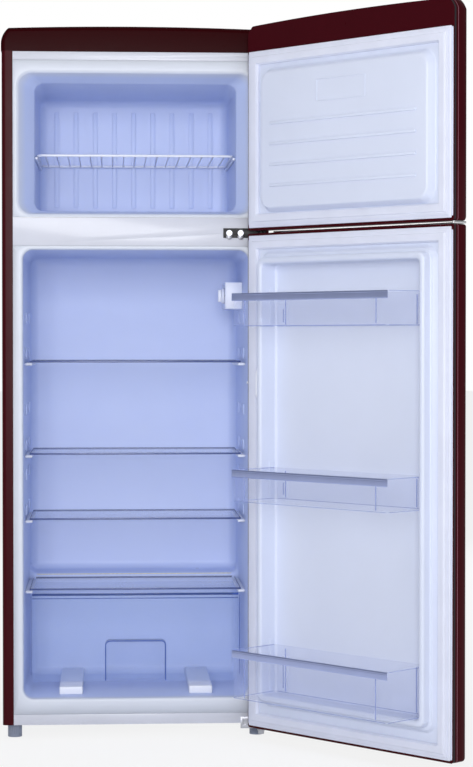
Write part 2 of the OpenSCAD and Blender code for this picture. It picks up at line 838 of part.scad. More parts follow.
// Housing on the right wall for the thermostat and the lamp, open towards the wall.
module thermostat_housing() {
  t = 2;
  y0 = front_y + housing_d0;
  y1 = front_y + housing_d1;
  color("#dfe3f4") difference() {
    block([housing_x, y0, housing_z0], [fridge_x - fit, y1, housing_z1]);
    block([housing_x + t, y0 + t, housing_z0 + t], [fridge_x + 1, y1 - t, housing_z1 - t]);
    translate([housing_x - 1, front_y + knob_d, knob_z]) rotate([0, 90, 0])
      cylinder(h = t + 2, r = shaft_r + fit);
    for (i = [0 : 3])
      block([housing_x - 1, front_y + lamp_d - 18 + i * 10, housing_z0 + 12],
        [housing_x + t + 1, front_y + lamp_d - 13 + i * 10, housing_z1 - 12]);
  }
}

// Thermostat behind the knob, with its turned shaft.
module thermostat_control() {
  color("#9aa0a8") {
    block([housing_x + 3, front_y + knob_d - 20, knob_z - 18],
      [fridge_x - 1, front_y + knob_d + 20, knob_z + 18]);
    translate([housing_x - knob_h + 3, front_y + knob_d, knob_z]) rotate([0, 90, 0])
      cylinder(h = knob_h + 1, r = shaft_r);
  }
}

// Knob with a grip bar across its face.
module thermostat_knob() {
  x = housing_x - fit;
  color("#f4f5f8") difference() {
    union() {
      translate([x - 6, front_y + knob_d, knob_z]) rotate([0, 90, 0]) cylinder(h = 6, r = knob_r);
      block([x - knob_h, front_y + knob_d - 3.5, knob_z - 13], [x - 5, front_y + knob_d + 3.5, knob_z + 13]);
    }
    translate([x - knob_h + 3, front_y + knob_d, knob_z]) rotate([0, 90, 0])
      cylinder(h = knob_h, r = shaft_r + running);
  }
}

// Lamp with its screw base, behind the slots of the housing.
module lamp_bulb() {
  bulb_r = 10;
  z0 = housing_z0 + 2 + fit;
  color("#fff6dc") translate([housing_x + 18, front_y + lamp_d, z0]) {
    translate([0, 0, 30]) sphere(bulb_r);
    cylinder(h = 24, r = 6);
  }
}

// Switch body sunk in the insulation beside the mouth.
module lamp_switch() {
  x = fridge_x + liner_t + fit;
  color("#eceef4") difference() {
    block([x, front_y + rail_d + 2 * fit, switch_z - 8],
      [x + 21, front_y + switch_d + 11, switch_z + 8]);
    translate([x - 1, front_y + switch_d, switch_z]) rotate([0, 90, 0])
      cylinder(h = 20, r = plunger_r + running);
  }
}

// Sprung plunger that the striker on the door works.
module lamp_switch_plunger() {
  color("#ffffff") translate([fridge_x - switch_proud, front_y + switch_d, switch_z]) rotate([0, 90, 0])
    cylinder(h = switch_proud + 15, r = plunger_r);
}

// ---------- shelves and drawer ----------

// Sheet of glass whose top is at z.
module glass_shelf(z) {
  color("#c4d2f4") block([-shelf_x, front_y + shelf_d, z - glass_t], [shelf_x, front_y + step_d - 1, z]);
}

module glass_shelf_top() {
  glass_shelf(shelf_top_z);
}

module glass_shelf_middle() {
  glass_shelf(shelf_middle_z);
}

module glass_shelf_bottom() {
  glass_shelf(shelf_bottom_z);
}

module crisper_cover() {
  glass_shelf(crisper_cover_z);
}

// Freezer shelf: a frame with bars from front to back.
module freezer_shelf() {
  x = freezer_x - 3;
  y0 = front_y + flare_d + 25;
  y1 = front_y + freezer_d - 6;
  z0 = freezer_shelf_z - freezer_shelf_t;
  bars = 16;
  color("#e6eaf8") {
    difference() {
      block([-x, y0, z0], [x, y1, freezer_shelf_z]);
      block([-x + 12, y0 + 12, z0 - 1], [x - 12, y1 - 12, freezer_shelf_z + 1]);
    }
    for (i = [1 : bars]) {
      bar_x = -x + 12 + i * (2 * x - 24) / (bars + 1);
      block([bar_x - 2.5, y0 + 11, z0 + 1], [bar_x + 2.5, y1 - 11, freezer_shelf_z - 1]);
    }
  }
}

// Flat outline of the drawer, seen from the front, inset by a wall.
module drawer_outline(inset, z1) {
  x = drawer_x - inset;
  z0 = drawer_z + inset;
  r = 15 - inset;
  round_rect(-x, z0, x, z0 + 80, r);
  translate([-x, z0 + r]) square([2 * x, z1 - z0 - r]);
}

// Drawer with a hand recess let into its front.
module crisper_drawer() {
  d0 = shelf_d + 1;
  d1 = step_d - drawer_back_gap;
  z1 = crisper_cover_z - glass_t - ledge_h - 3 * fit;
  grip_x = 63.5;
  grip_z = drawer_z + 86;
  grip_d = 24;
  w = drawer_wall;
  color("#8ea6ea") {
    difference() {
      front_slab(d0, d1) drawer_outline(0, z1);
      front_slab(d0 + w, d1 - w) drawer_outline(w, z1 + 1);
      front_slab(d0 - 1, d0 + w + 1) grip_outline(grip_x, grip_z);
    }
    difference() {
      front_slab(d0, d0 + grip_d) grip_outline(grip_x, grip_z);
      front_slab(d0 - 1, d0 + grip_d - w) grip_outline(grip_x - w, grip_z - w);
    }
  }
}

// Inverted U of the hand recess.
module grip_outline(x, z) {
  round_rect(-x, drawer_z + drawer_wall, x, z, 10);
  translate([-x, drawer_z + drawer_wall]) square([2 * x, 20]);
}

// ---------- doors ----------

// Plan of a door, closed: flat inner side, bulged outer face, round outer corners.
module door_plan(inset) {
  x = door_half - inset;
  y_out = edge_y - door_bulge;
  intersection() {
    translate([0, y_out + face_r]) circle(face_r - inset, $fn = fine);
    translate([-x, y_out]) square([2 * x, inner_y - y_out - inset]);
    door_corners(inset);
  }
}

// Strip with round corners where a door's sides meet its bulged face.
module door_corners(inset) {
  x = door_half - inset;
  r = door_corner_r - inset;
  y_corner = edge_y + inset + r;
  reach = 2 * door_edge_t;
  translate([-x, y_corner]) square([2 * x, reach]);
  translate([-x + r, y_corner - reach]) square([2 * (x - r), 2 * reach]);
  for (s = [-1, 1]) translate([s * (x - r), y_corner]) circle(r);
}

// Solid of the lower door, inset on every side.
module fridge_door_solid(inset) {
  h = fridge_door_top - fridge_door_bottom - 2 * inset;
  translate([0, 0, fridge_door_bottom + inset]) linear_extrude(h) door_plan(inset);
}

// Solid of the freezer door, with the cap's crown along its top.
module freezer_door_solid(inset) {
  intersection() {
    translate([0, 0, freezer_door_bottom + inset]) linear_extrude(body_h) door_plan(inset);
    upright(edge_y - 60, inner_y + 1) intersection() {
      crown_outline(inset, freezer_door_bottom - 20);
      translate([-crown_half, freezer_door_bottom - 20]) square([2 * crown_half, body_h]);
    }
  }
}

// Window in the inner side of a skin that its liner closes.
module liner_window(z0, z1) {
  block([-door_half + door_sheet, inner_y - door_sheet - 1, z0],
    [door_half - door_sheet, inner_y + 1, z1]);
}

// Bore for a bush, from z upwards.
module bush_bore(z, h) {
  translate([pivot_x, pivot_y, z]) cylinder(h = h, r = bush_r + running);
}

// Slot at the hinge corner that the top hinge's arm swings through.
module arm_slot() {
  block([pivot_x - arm_half - 3, pivot_y - slot_reach, slot_z0], [half_w + 5, inner_y + 20, slot_z1]);
}

module freezer_door_skin() {
  color("#3a1218") opened() difference() {
    freezer_door_solid(0);
    freezer_door_solid(door_sheet);
    liner_window(freezer_liner_z0, freezer_liner_z1);
    bush_bore(freezer_door_bottom - 1, 3);
    arm_slot();
  }
}

module fridge_door_skin() {
  color("#3a1218") opened() difference() {
    fridge_door_solid(0);
    fridge_door_solid(door_sheet);
    liner_window(fridge_liner_z0, fridge_liner_z1);
    bush_bore(fridge_door_bottom - 1, 3);
    bush_bore(fridge_door_top - 2, 3);
  }
}

// Bushes that the hinge pins turn in: outer sleeves with a through bore.
module bush(z) {
  translate([pivot_x, pivot_y, z]) difference() {
    cylinder(h = bush_l, r = bush_r);
    translate([0, 0, -1]) cylinder(h = bush_l + 2, r = pin_r + running);
  }
}

module freezer_door_bushes() {
  color("#e9e9ec") opened() {
    bush(freezer_door_bottom);
    bush(slot_z0 - bush_l);
  }
}

module fridge_door_bushes() {
  color("#e9e9ec") opened() {
    bush(fridge_door_bottom);
    bush(fridge_door_top - bush_l);
  }
}

// Slab of a door liner's form, between two distances from the gasket line.
module door_slab(v0, v1) {
  upright(gasket_y + v0, gasket_y + v1) children();
}

// Everything behind the freezer door's inner face, drawn back by s.
module freezer_form(s) {
  x = door_half - door_sheet - fit;
  door_slab(base_v, -gasket_t - s) translate([-x, freezer_liner_z0 + fit])
    square([2 * x, freezer_liner_z1 - freezer_liner_z0 - 2 * fit]);
  door_slab(base_v, plateau_v - s)
    round_rect(-plateau_x + s, plateau_z0 + s, plateau_x - s, plateau_z1 - s, 24 - s);
}

// Recess between the dykes, grown by g.
module door_recess(g) {
  door_slab(-recess_v - g, dyke_v + 5)
    round_rect(-recess_x - g, recess_z0 - g, recess_x + g, recess_z1 + g, recess_r + g);
}

// Everything behind the lower door's inner face, drawn back by s.
module fridge_form(s) {
  x = door_half - door_sheet - fit;
  difference() {
    union() {
      door_slab(base_v, -gasket_t - s) translate([-x, fridge_liner_z0 + fit])
        square([2 * x, fridge_liner_z1 - fridge_liner_z0 - 2 * fit]);
      door_slab(base_v, -1 - s)
        round_rect(-mound_x + s, dyke_z0 - 7 + s, mound_x - s, dyke_z1 + 7 - s, 22 - s);
      door_slab(base_v, dyke_v - s)
        round_rect(-dyke_x + s, dyke_z0 + s, dyke_x - s, dyke_z1 - s, 16 - s);
    }
    door_recess(s);
  }
}

// Freezer door liner: a raised panel with four level ribs and a plain framed field.
module freezer_door_liner() {
  rib_v = 3;
  field = [[-field_x, field_z0], [field_x, field_z1]];
  color("#cdd3ec") opened() difference() {
    union() {
      difference() {
        freezer_form(0);
        freezer_form(liner_t);
      }
      for (i = [0 : 3])
        door_slab(plateau_v - 1, plateau_v + rib_v) round_rect(-plateau_x + 26, rib_z + i * rib_pitch,
          plateau_x - 26, rib_z + i * rib_pitch + rib_h, 1.9);
      difference() {
        door_slab(plateau_v - 1, plateau_v + 1) translate(field[0]) square(field[1] - field[0]);
        door_slab(plateau_v - 2, plateau_v + 2) translate(field[0] + [2, 2])
          square(field[1] - field[0] - [4, 4]);
      }
    }
    arm_slot();
  }
}

// Lower door liner: dykes round a recess, with a lug under each end of each bin.
module fridge_door_liner() {
  color("#cdd3ec") opened() {
    difference() {
      fridge_form(0);
      fridge_form(liner_t);
    }
    intersection() {
      door_recess(liner_t / 2);
      for (z = [bin_top_z, bin_middle_z, bin_bottom_z], s = [-1, 1]) {
        x0 = s * (recess_x - 8);
        x1 = s * (recess_x + liner_t);
        block([min(x0, x1), gasket_y - 12, z - fit - 8], [max(x0, x1), gasket_y + dyke_v - 4, z - fit]);
      }
    }
  }
}

module freezer_door_foam() {
  gap = liner_t + fit;
  color("#e8d9a0") opened() difference() {
    union() {
      intersection() {
        freezer_door_solid(door_sheet + fit);
        block([-half_w, edge_y - 60, 0], [half_w, gasket_y + base_v + 0.1, body_h]);
      }
      freezer_form(gap);
    }
    bush_bore(freezer_door_bottom - 1, bush_l + 1 + fit);
    bush_bore(slot_z0 - bush_l - fit, 30);
    arm_slot();
  }
}

module fridge_door_foam() {
  gap = liner_t + fit;
  color("#e8d9a0") opened() difference() {
    union() {
      intersection() {
        fridge_door_solid(door_sheet + fit);
        block([-half_w, edge_y - 60, 0], [half_w, gasket_y + base_v + 0.1, body_h]);
      }
      fridge_form(gap);
    }
    bush_bore(fridge_door_bottom - 1, bush_l + 1 + fit);
    bush_bore(fridge_door_top - bush_l - fit, 30);
  }
}

// One pleat of a gasket, inset from the door's edge.
module pleat(v0, v1, inset_out, inset_in, z0, z1) {
  door_slab(v0, v1) difference() {
    round_rect(-door_half + inset_out, z0 + inset_out, door_half - inset_out, z1 - inset_out, 10);
    round_rect(-door_half + inset_in, z0 + inset_in, door_half - inset_in, z1 - inset_in, 6);
  }
}

// Magnetic gasket in three pleats, narrowing towards the cabinet.
module gasket(z0, z1) {
  color("#e4e8f6") opened() {
    pleat(-gasket_t + fit, -5, 5, 33, z0, z1);
    pleat(-5.1, -3.2, 10, 31, z0, z1);
    pleat(-3.3, 0, 17, 30, z0, z1);
  }
}

module freezer_door_gasket() {
  gasket(freezer_door_bottom, cap_z);
}

module fridge_door_gasket() {
  gasket(fridge_door_bottom, fridge_door_top);
}

// Bright strip under the freezer door, along its outer face and round its free end.
module freezer_door_trim() {
  z0 = freezer_door_bottom - 5;
  z1 = freezer_door_bottom - fit;
  color("#d9dbe0") opened() difference() {
    translate([0, 0, z0]) linear_extrude(z1 - z0) door_plan(0);
    translate([0, 0, z0 - 1]) linear_extrude(z1 - z0 + 2) door_plan(4);
    block([-door_half + 4, inner_y - 5, 0], [half_w, inner_y + 5, body_h]);
    block([pivot_x - 14, edge_y - 60, 0], [half_w + 5, inner_y + 20, body_h]);
  }
}

// Bar handle on two posts, upright near the free edge of a door.
module handle(z0, z1) {
  x = -door_half + handle_inset;
  base_r = 11;
  y_base = edge_y - door_bulge + (abs(x) - base_r) * (abs(x) - base_r) / (2 * face_r) - fit;
  y_bar = y_base - handle_out;
  color("#d9dbe0") opened() {
    for (z = [z0 + 16, z1 - 16]) translate([x, y_base, z]) rotate([90, 0, 0]) {
      cylinder(h = 3, r = base_r);
      cylinder(h = handle_out, r = 5.5);
    }
    translate([x, y_bar, z0 + handle_r]) cylinder(h = z1 - z0 - 2 * handle_r, r = handle_r);
    for (z = [z0 + handle_r, z1 - handle_r]) translate([x, y_bar, z]) sphere(handle_r);
  }
}

module freezer_door_handle() {
  z0 = freezer_door_bottom + freezer_handle_up;
  handle(z0, z0 + freezer_handle_l);
}

module fridge_door_handle() {
  z1 = fridge_door_top - fridge_handle_down;
  handle(z1 - fridge_handle_l, z1);
}

// Chamfered block on the dyke's hinge side that works the lamp switch.
module switch_striker() {
  x0 = dyke_x + fit;
  x1 = min(striker_x, mound_x);
  v1 = dyke_v - 3;
  z0 = switch_z - 36;
  z1 = switch_z + 35;
  color("#f2f4fa") opened() upright_side(x0, x1) polygon([
    [gasket_y - 1 + fit, z0], [gasket_y + v1 - 7, z0], [gasket_y + v1, z0 + 16],
    [gasket_y + v1, z1 - 16], [gasket_y + v1 - 7, z1], [gasket_y - 1 + fit, z1]
  ]);
}

// Carries a flat outline in Y and Z from x0 to x1.
module upright_side(x0, x1) {
  translate([x0, 0, 0]) rotate([90, 0, 90]) linear_extrude(x1 - x0) children();
}

// Open-topped door bin.
module door_bin(z, h) {
  color("#c4d0f6") opened() difference() {
    bin_block(0, z, z + h);
    bin_block(bin_wall, z + bin_wall, z + h + 1);
  }
}

// Upright block of a bin's plan, inset by a wall.
module bin_block(inset, z0, z1) {
  translate([0, 0, z0]) linear_extrude(z1 - z0)
    round_rect(-bin_x + inset, gasket_y + bin_back_v + inset, bin_x - inset,
      gasket_y + bin_v - inset, 6 - inset);
}

module door_bin_top() {
  door_bin(bin_top_z, bin_top_h);
}

module door_bin_middle() {
  door_bin(bin_middle_z, bin_middle_h);
}

module door_bin_bottom() {
  door_bin(bin_bottom_z, bin_bottom_h);
}

// Metal strip along a bin's front, with its top at z.
module bin_rail(z) {
  y = gasket_y + bin_v;
  color("#8e92b4") opened() block([-bin_x, y, z - bin_rail_h], [bin_x, y + 1.2, z]);
}

module bin_rail_top() {
  bin_rail(bin_top_z + bin_top_h);
}

module bin_rail_middle() {
  bin_rail(bin_middle_z + bin_middle_h);
}

module bin_rail_bottom() {
  bin_rail(bin_bottom_z + bin_bottom_h);
}

outer_shell();
top_cap();
back_panel();
front_rails();
freezer_liner();
fridge_liner();
cabinet_foam();
base_pan();
compressor();
compressor_grommets();
start_relay();
evaporation_tray();
drain_tube();
filter_drier();
suction_line();
condenser();
condenser_brackets();
freezer_evaporator();
fridge_evaporator();
cord_gland();
front_left_foot();
front_right_foot();
rear_feet();
top_hinge();
middle_hinge();
bottom_hinge();
hinge_screws();
thermostat_housing();
thermostat_control();
thermostat_knob();
lamp_bulb();
lamp_switch();
lamp_switch_plunger();
glass_shelf_top();
glass_shelf_middle();
glass_shelf_bottom();
crisper_cover();
shelf_supports();
freezer_shelf();
crisper_drawer();
freezer_door_skin();
freezer_door_liner();
freezer_door_foam();
freezer_door_gasket();
freezer_door_bushes();
freezer_door_trim();
freezer_door_handle();
fridge_door_skin();
fridge_door_liner();
fridge_door_foam();
fridge_door_gasket();
fridge_door_bushes();
fridge_door_handle();
switch_striker();
door_bin_top();
door_bin_middle();
door_bin_bottom();
bin_rail_top();
bin_rail_middle();
bin_rail_bottom();
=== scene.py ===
"""Two-door refrigerator with the freezer on top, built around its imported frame."""
import json
import math

import bmesh
import bpy
import numpy as np
from bpy.props import FloatProperty, FloatVectorProperty, PointerProperty
from bpy.types import Operator, Panel, PropertyGroup
from mathutils import Matrix, Vector

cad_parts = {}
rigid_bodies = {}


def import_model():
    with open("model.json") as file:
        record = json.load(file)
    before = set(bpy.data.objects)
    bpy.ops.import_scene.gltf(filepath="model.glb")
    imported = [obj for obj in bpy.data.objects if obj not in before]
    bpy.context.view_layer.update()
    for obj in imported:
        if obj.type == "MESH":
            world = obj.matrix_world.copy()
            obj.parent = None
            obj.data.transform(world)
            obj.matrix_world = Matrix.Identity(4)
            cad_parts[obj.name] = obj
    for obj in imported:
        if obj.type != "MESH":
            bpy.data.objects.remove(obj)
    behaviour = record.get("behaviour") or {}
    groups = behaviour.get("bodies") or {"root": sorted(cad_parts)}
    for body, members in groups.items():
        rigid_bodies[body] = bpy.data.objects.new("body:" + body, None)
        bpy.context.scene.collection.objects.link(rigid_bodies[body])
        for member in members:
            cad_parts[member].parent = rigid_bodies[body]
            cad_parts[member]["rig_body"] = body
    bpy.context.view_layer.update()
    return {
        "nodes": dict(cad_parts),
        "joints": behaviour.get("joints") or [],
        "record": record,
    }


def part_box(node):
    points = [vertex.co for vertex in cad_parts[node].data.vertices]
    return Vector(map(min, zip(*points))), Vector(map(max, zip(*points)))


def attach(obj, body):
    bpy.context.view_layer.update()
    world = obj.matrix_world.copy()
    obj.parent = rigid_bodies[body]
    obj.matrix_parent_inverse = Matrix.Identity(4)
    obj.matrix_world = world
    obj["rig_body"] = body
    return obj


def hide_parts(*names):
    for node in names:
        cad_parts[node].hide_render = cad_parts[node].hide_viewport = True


bl_info = {
    "name": "Top freezer refrigerator",
    "version": (1, 0, 0),
    "blender": (4, 5, 0),
    "location": "View3D > Sidebar > Refrigerator",
    "description": "Builds the moulded, painted and clear pieces of the refrigerator",
    "category": "Add Mesh",
}

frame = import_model()
MM = 0.001
JOINTS = {joint["name"]: joint for joint in frame["joints"]}


# ---------- places, in millimetres ----------

def span(node):
    """Lowest and highest corner of a frame node."""
    low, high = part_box(node)
    return np.array(low) / MM, np.array(high) / MM


def hinge():
    """Hinge line in X and Y, and the angle at which the doors stand open."""
    joint = JOINTS["fridge_door_hinge"]
    return np.array(joint["pos_m"][:2]) / MM, -math.radians(joint["range_deg"][0])


def opened(points):
    """Turns closed-door points to the open pose: a rotation about the upright hinge line."""
    (px, py), angle = hinge()
    x, y = points[..., 0] - px, points[..., 1] - py
    c, s = math.cos(angle), math.sin(angle)
    return np.stack([px + c * x - s * y, py + s * x + c * y, points[..., 2]], -1)


def closed_span(node):
    """Lowest and highest corner of a door's node, with that door shut."""
    mesh = frame["nodes"][node].data
    points = np.empty(len(mesh.vertices) * 3, np.float32)
    mesh.vertices.foreach_get("co", points)
    points = points.reshape(-1, 3).astype(float) / MM
    (px, py), angle = hinge()
    x, y = points[:, 0] - px, points[:, 1] - py
    c, s = math.cos(-angle), math.sin(-angle)
    shut = np.stack([px + c * x - s * y, py + s * x + c * y, points[:, 2]], -1)
    return shut.min(0), shut.max(0)


# ---------- surfaces ----------

def upright(x, y, z):
    """Points at one depth y from a list of x and a list, or one value, of z."""
    return np.stack(np.broadcast_arrays(x, float(y), z), -1)


def eased_path(points, radii, steps=6):
    """Polyline with its inner corners rounded: each corner of radius r becomes the arc that
    touches both of its sides, at the distance r * tan(turn / 2) from the corner."""
    points = np.asarray(points, float)
    radii = [0] + list(radii) + [0]
    out = []
    for i, p in enumerate(points):
        if radii[i] <= 0:
            out.append(p[None])
            continue
        a, b = points[i - 1] - p, points[i + 1] - p
        la, lb = np.linalg.norm(a), np.linalg.norm(b)
        a, b = a / la, b / lb
        half = math.acos(np.clip(a @ b, -1, 1)) / 2
        reach = min(radii[i] / math.tan(half), 0.49 * la, 0.49 * lb)
        radius = reach * math.tan(half)
        middle = p + (a + b) / np.linalg.norm(a + b) * radius / math.sin(half)
        u, v = p + a * reach - middle, p + b * reach - middle
        turn = math.pi - 2 * half
        t = np.linspace(0, 1, steps + 1)[:, None]
        out.append(middle + (np.sin((1 - t) * turn) * u + np.sin(t * turn) * v) / math.sin(turn))
    return np.concatenate(out)


def path_normals(path):
    """Unit normals to the left of a flat path, from the mean of the two sides at each point."""
    step = np.diff(path, axis=0)
    step = np.concatenate([step[:1], step[:-1] / np.linalg.norm(step[:-1], axis=1)[:, None]
                           + step[1:] / np.linalg.norm(step[1:], axis=1)[:, None], step[-1:]])
    step /= np.linalg.norm(step, axis=1)[:, None]
    return np.stack([-step[:, 1], step[:, 0]], -1)


def rect_loops(x0, x1, z0, z1, r, steps=8):
    """Rounded rectangles, one for each row of the inputs: four quarter circles of radius r
    about the inset corners, joined by straight sides."""
    rows = np.broadcast_arrays(*[np.atleast_1d(np.asarray(v, float)) for v in (x0, x1, z0, z1, r)])
    x0, x1, z0, z1, r = rows
    cx = np.stack([x1 - r, x0 + r, x0 + r, x1 - r], 1)[:, :, None]
    cz = np.stack([z1 - r, z1 - r, z0 + r, z0 + r], 1)[:, :, None]
    turn = np.arange(4)[:, None] * np.pi / 2 + np.linspace(0, np.pi / 2, steps + 1)
    reach = r[:, None, None]
    x = (cx + reach * np.cos(turn)).reshape(len(x0), -1)
    z = (cz + reach * np.sin(turn)).reshape(len(x0), -1)
    return x, z


def grid_faces(rows, columns, wrap_rows=False, wrap_columns=True):
    """Four-sided faces between neighbouring points of a grid."""
    i = np.arange(rows if wrap_rows else rows - 1)[:, None]
    j = np.arange(columns if wrap_columns else columns - 1)[None, :]
    i1, j1 = (i + 1) % rows, (j + 1) % columns
    faces = np.stack([i * columns + j, i * columns + j1, i1 * columns + j1, i1 * columns + j], -1)
    return faces.reshape(-1, 4).tolist()


def sleeve(loops, first=None, last=None, wrap=False):
    """Closed loops carried from one to the next. An end is left open, closed by one flat
    face ("flat"), or by rungs between its lower and its upper row ("rungs")."""
    rows, columns = loops.shape[:2]
    faces = grid_faces(rows, columns, wrap_rows=wrap)
    for end, base in ((first, 0), (last, (rows - 1) * columns)):
        if end == "flat":
            faces.append(list(range(base, base + columns)))
        elif end == "rungs":
            j = np.arange(columns // 2 - 1)
            rungs = np.stack([j, j + 1, columns - 2 - j, columns - 1 - j], -1) + base
            faces += rungs.tolist()
    return loops.reshape(-1, 3), faces


def lathe(profile, centre, axis, steps=48):
    """Profile of (radius, distance) turned about an axis through a point: the radius goes
    with the cosine and sine of the turn, the distance along the axis."""
    axis = np.asarray(axis, float)
    side = np.cross(axis, [0, 0, 1] if abs(axis[2]) < 0.9 else [1, 0, 0])
    side /= np.linalg.norm(side)
    other = np.cross(axis, side)
    turn = np.linspace(0, 2 * np.pi, steps, endpoint=False)
    ring = np.cos(turn)[:, None] * side + np.sin(turn)[:, None] * other
    profile = np.asarray(profile, float)
    loops = np.asarray(centre, float) + profile[:, 0, None, None] * ring + profile[:, 1, None, None] * axis
    return sleeve(loops, "flat", "flat")


def brick(low, high, r=1.0, steps=3):
    """Block with all its edges rounded: rounded rectangles whose inset and height follow a
    quarter circle at both ends."""
    low, high = np.asarray(low, float), np.asarray(high, float)
    r = min(r, 0.49 * (high - low).min())
    t = np.linspace(0, np.pi / 2, steps + 1)
    inset = np.concatenate([r * (1 - np.sin(t)), r * (1 - np.sin(t[::-1]))])
    level = np.concatenate([low[2] + r * (1 - np.cos(t)), high[2] - r * (1 - np.cos(t[::-1]))])
    x, y = rect_loops(low[0] + inset, high[0] - inset, low[1] + inset, high[1] - inset,
                      np.maximum(r - inset, 0.02), steps)
    z = np.broadcast_to(level[:, None], x.shape)
    return sleeve(np.stack([x, y, z], -1), "flat", "flat")


# ---------- objects ----------

def finish_mesh(mesh, smooth, facing=None):
    """Merges doubles, turns the faces outwards (or towards a direction) and marks the edges."""
    work = bmesh.new()
    work.from_mesh(mesh)
    bmesh.ops.remove_doubles(work, verts=work.verts, dist=2e-6)
    bmesh.ops.recalc_face_normals(work, faces=work.faces)
    if facing is not None:
        total = sum((f.normal * f.calc_area() for f in work.faces), Vector())
        if total.dot(Vector(facing)) < 0:
            bmesh.ops.reverse_faces(work, faces=work.faces)
    work.to_mesh(mesh)
    work.free()
    mesh.shade_smooth()
    mesh.set_sharp_from_angle(angle=math.radians(smooth))


def piece(name, parts, body, slot, replaces=(), look=None, smooth=32, door=False, thick=None,
          facing=None):
    """One object from grids in millimetres, riding on a body, in its slot's finish unless
    another look is named. A door's piece is given with
    the door shut. A sheet gets its thickness behind the side that faces the given way."""
    points = np.concatenate([p for p, _ in parts])
    faces, base = [], 0
    for p, f in parts:
        faces += [[i + base for i in face] for face in f]
        base += len(p)
    mesh = bpy.data.meshes.new(name)
    mesh.from_pydata((points * MM).tolist(), [], faces)
    finish_mesh(mesh, smooth, facing)
    obj = bpy.data.objects.new(name, mesh)
    bpy.context.scene.collection.objects.link(obj)
    if thick:
        solid = obj.modifiers.new("thickness", "SOLIDIFY")
        solid.thickness = thick * MM
        solid.offset = -1
        apply_modifiers(obj)
    if door:
        turn = np.empty(len(obj.data.vertices) * 3, np.float32)
        obj.data.vertices.foreach_get("co", turn)
        turned = opened(turn.reshape(-1, 3).astype(float) / MM) * MM
        obj.data.vertices.foreach_set("co", turned.ravel())
        obj.data.update()
    obj.data.materials.append(FINISHES[look or slot])
    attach(obj, body)
    if replaces:
        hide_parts(*replaces)
    return obj


def apply_modifiers(obj):
    """Bakes an object's modifiers into its mesh."""
    bpy.context.view_layer.update()
    shaped = bpy.data.meshes.new_from_object(obj.evaluated_get(bpy.context.evaluated_depsgraph_get()))
    obj.modifiers.clear()
    obj.data = shaped


def eased_copy(node, name, slot, width=0.8, segments=2, look=None):
    """Merged copy of a frame node with its sharp edges rounded, which stands for it."""
    source = frame["nodes"][node]
    mesh = source.data.copy()
    mesh.materials.clear()
    work = bmesh.new()
    work.from_mesh(mesh)
    bmesh.ops.remove_doubles(work, verts=work.verts, dist=1e-6)
    bmesh.ops.dissolve_limit(work, angle_limit=math.radians(1), verts=work.verts, edges=work.edges)
    work.to_mesh(mesh)
    work.free()
    obj = bpy.data.objects.new(name, mesh)
    bpy.context.scene.collection.objects.link(obj)
    bevel = obj.modifiers.new("edges", "BEVEL")
    bevel.width = width * MM
    bevel.segments = segments
    bevel.limit_method = "ANGLE"
    bevel.angle_limit = math.radians(40)
    apply_modifiers(obj)
    obj.data.shade_smooth()
    obj.data.set_sharp_from_angle(angle=math.radians(32))
    obj.data.materials.append(FINISHES[look or slot])
    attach(obj, source["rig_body"])
    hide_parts(node)
    return obj


# ---------- finishes ----------

class Value:
    """An output socket. Arithmetic on it adds Math nodes, in either order."""

    def __init__(self, finish, socket):
        self.finish, self.socket = finish, socket

    def _math(self, operation, a, b):
        return self.finish.node("ShaderNodeMath", {"operation": operation}, {0: a, 1: b})

    def __add__(self, other):
        return self._math("ADD", self, other)

    def __radd__(self, other):
        return self._math("ADD", other, self)

    def __sub__(self, other):
        return self._math("SUBTRACT", self, other)

    def __rsub__(self, other):
        return self._math("SUBTRACT", other, self)

    def __mul__(self, other):
        return self._math("MULTIPLY", self, other)

    def __rmul__(self, other):
        return self._math("MULTIPLY", other, self)

    def __truediv__(self, other):
        return self._math("DIVIDE", self, other)


class Finish:
    """A node material on Object coordinates. One method makes every node: its settings
    first, then the values or links of its sockets."""

    def __init__(self, name):
        self.material = bpy.data.materials.new(name)
        self.material.use_nodes = True
        self.tree = self.material.node_tree
        self.tree.nodes.clear()
        self.place = self.node("ShaderNodeTexCoord", {}, {}, "Object")

    def node(self, kind, settings, values, output=0):
        made = self.tree.nodes.new(kind)
        for key, value in settings.items():
            if key == "stops":
                ramp = made.color_ramp
                for i, (at, colour) in enumerate(value):
                    stop = ramp.elements[i] if i < 2 else ramp.elements.new(at)
                    stop.position, stop.color = at, colour
            else:
                setattr(made, key, value)
        for key, value in values.items():
            if isinstance(value, Value):
                self.tree.links.new(value.socket, made.inputs[key])
            else:
                made.inputs[key].default_value = value
        return Value(self, made.outputs[output])

    def noise(self, size, detail=2.0, stretch=(1, 1, 1), output="Fac"):
        """Noise whose cells are about size millimetres across."""
        scaled = self.node("ShaderNodeMapping", {}, {"Vector": self.place, "Scale": stretch})
        return self.node("ShaderNodeTexNoise", {}, {"Vector": scaled, "Scale": 1000 / size,
                                                    "Detail": detail, "Roughness": 0.5}, output)

    def blend(self, amount, a, b):
        """Colour between a and b."""
        return self.node("ShaderNodeMix", {"data_type": "RGBA"}, {0: amount, 6: a, 7: b}, 2)

    def bump(self, height, depth):
        """Normal of a height field whose full height is depth millimetres."""
        return self.node("ShaderNodeBump", {}, {"Height": height, "Distance": depth * MM,
                                                "Strength": 1.0})

    def done(self, **values):
        """Principled surface from named sockets."""
        named = {key.replace("_", " "): value for key, value in values.items()}
        surface = self.node("ShaderNodeBsdfPrincipled", {}, named)
        self.node_output(surface)
        return self.material

    def node_output(self, surface):
        made = self.tree.nodes.new("ShaderNodeOutputMaterial")
        self.tree.links.new(surface.socket, made.inputs["Surface"])


def shade(colour, factor):
    """Colour times a factor, with full opacity."""
    return [min(1.0, c * factor) for c in list(colour)[:3]] + [1.0]


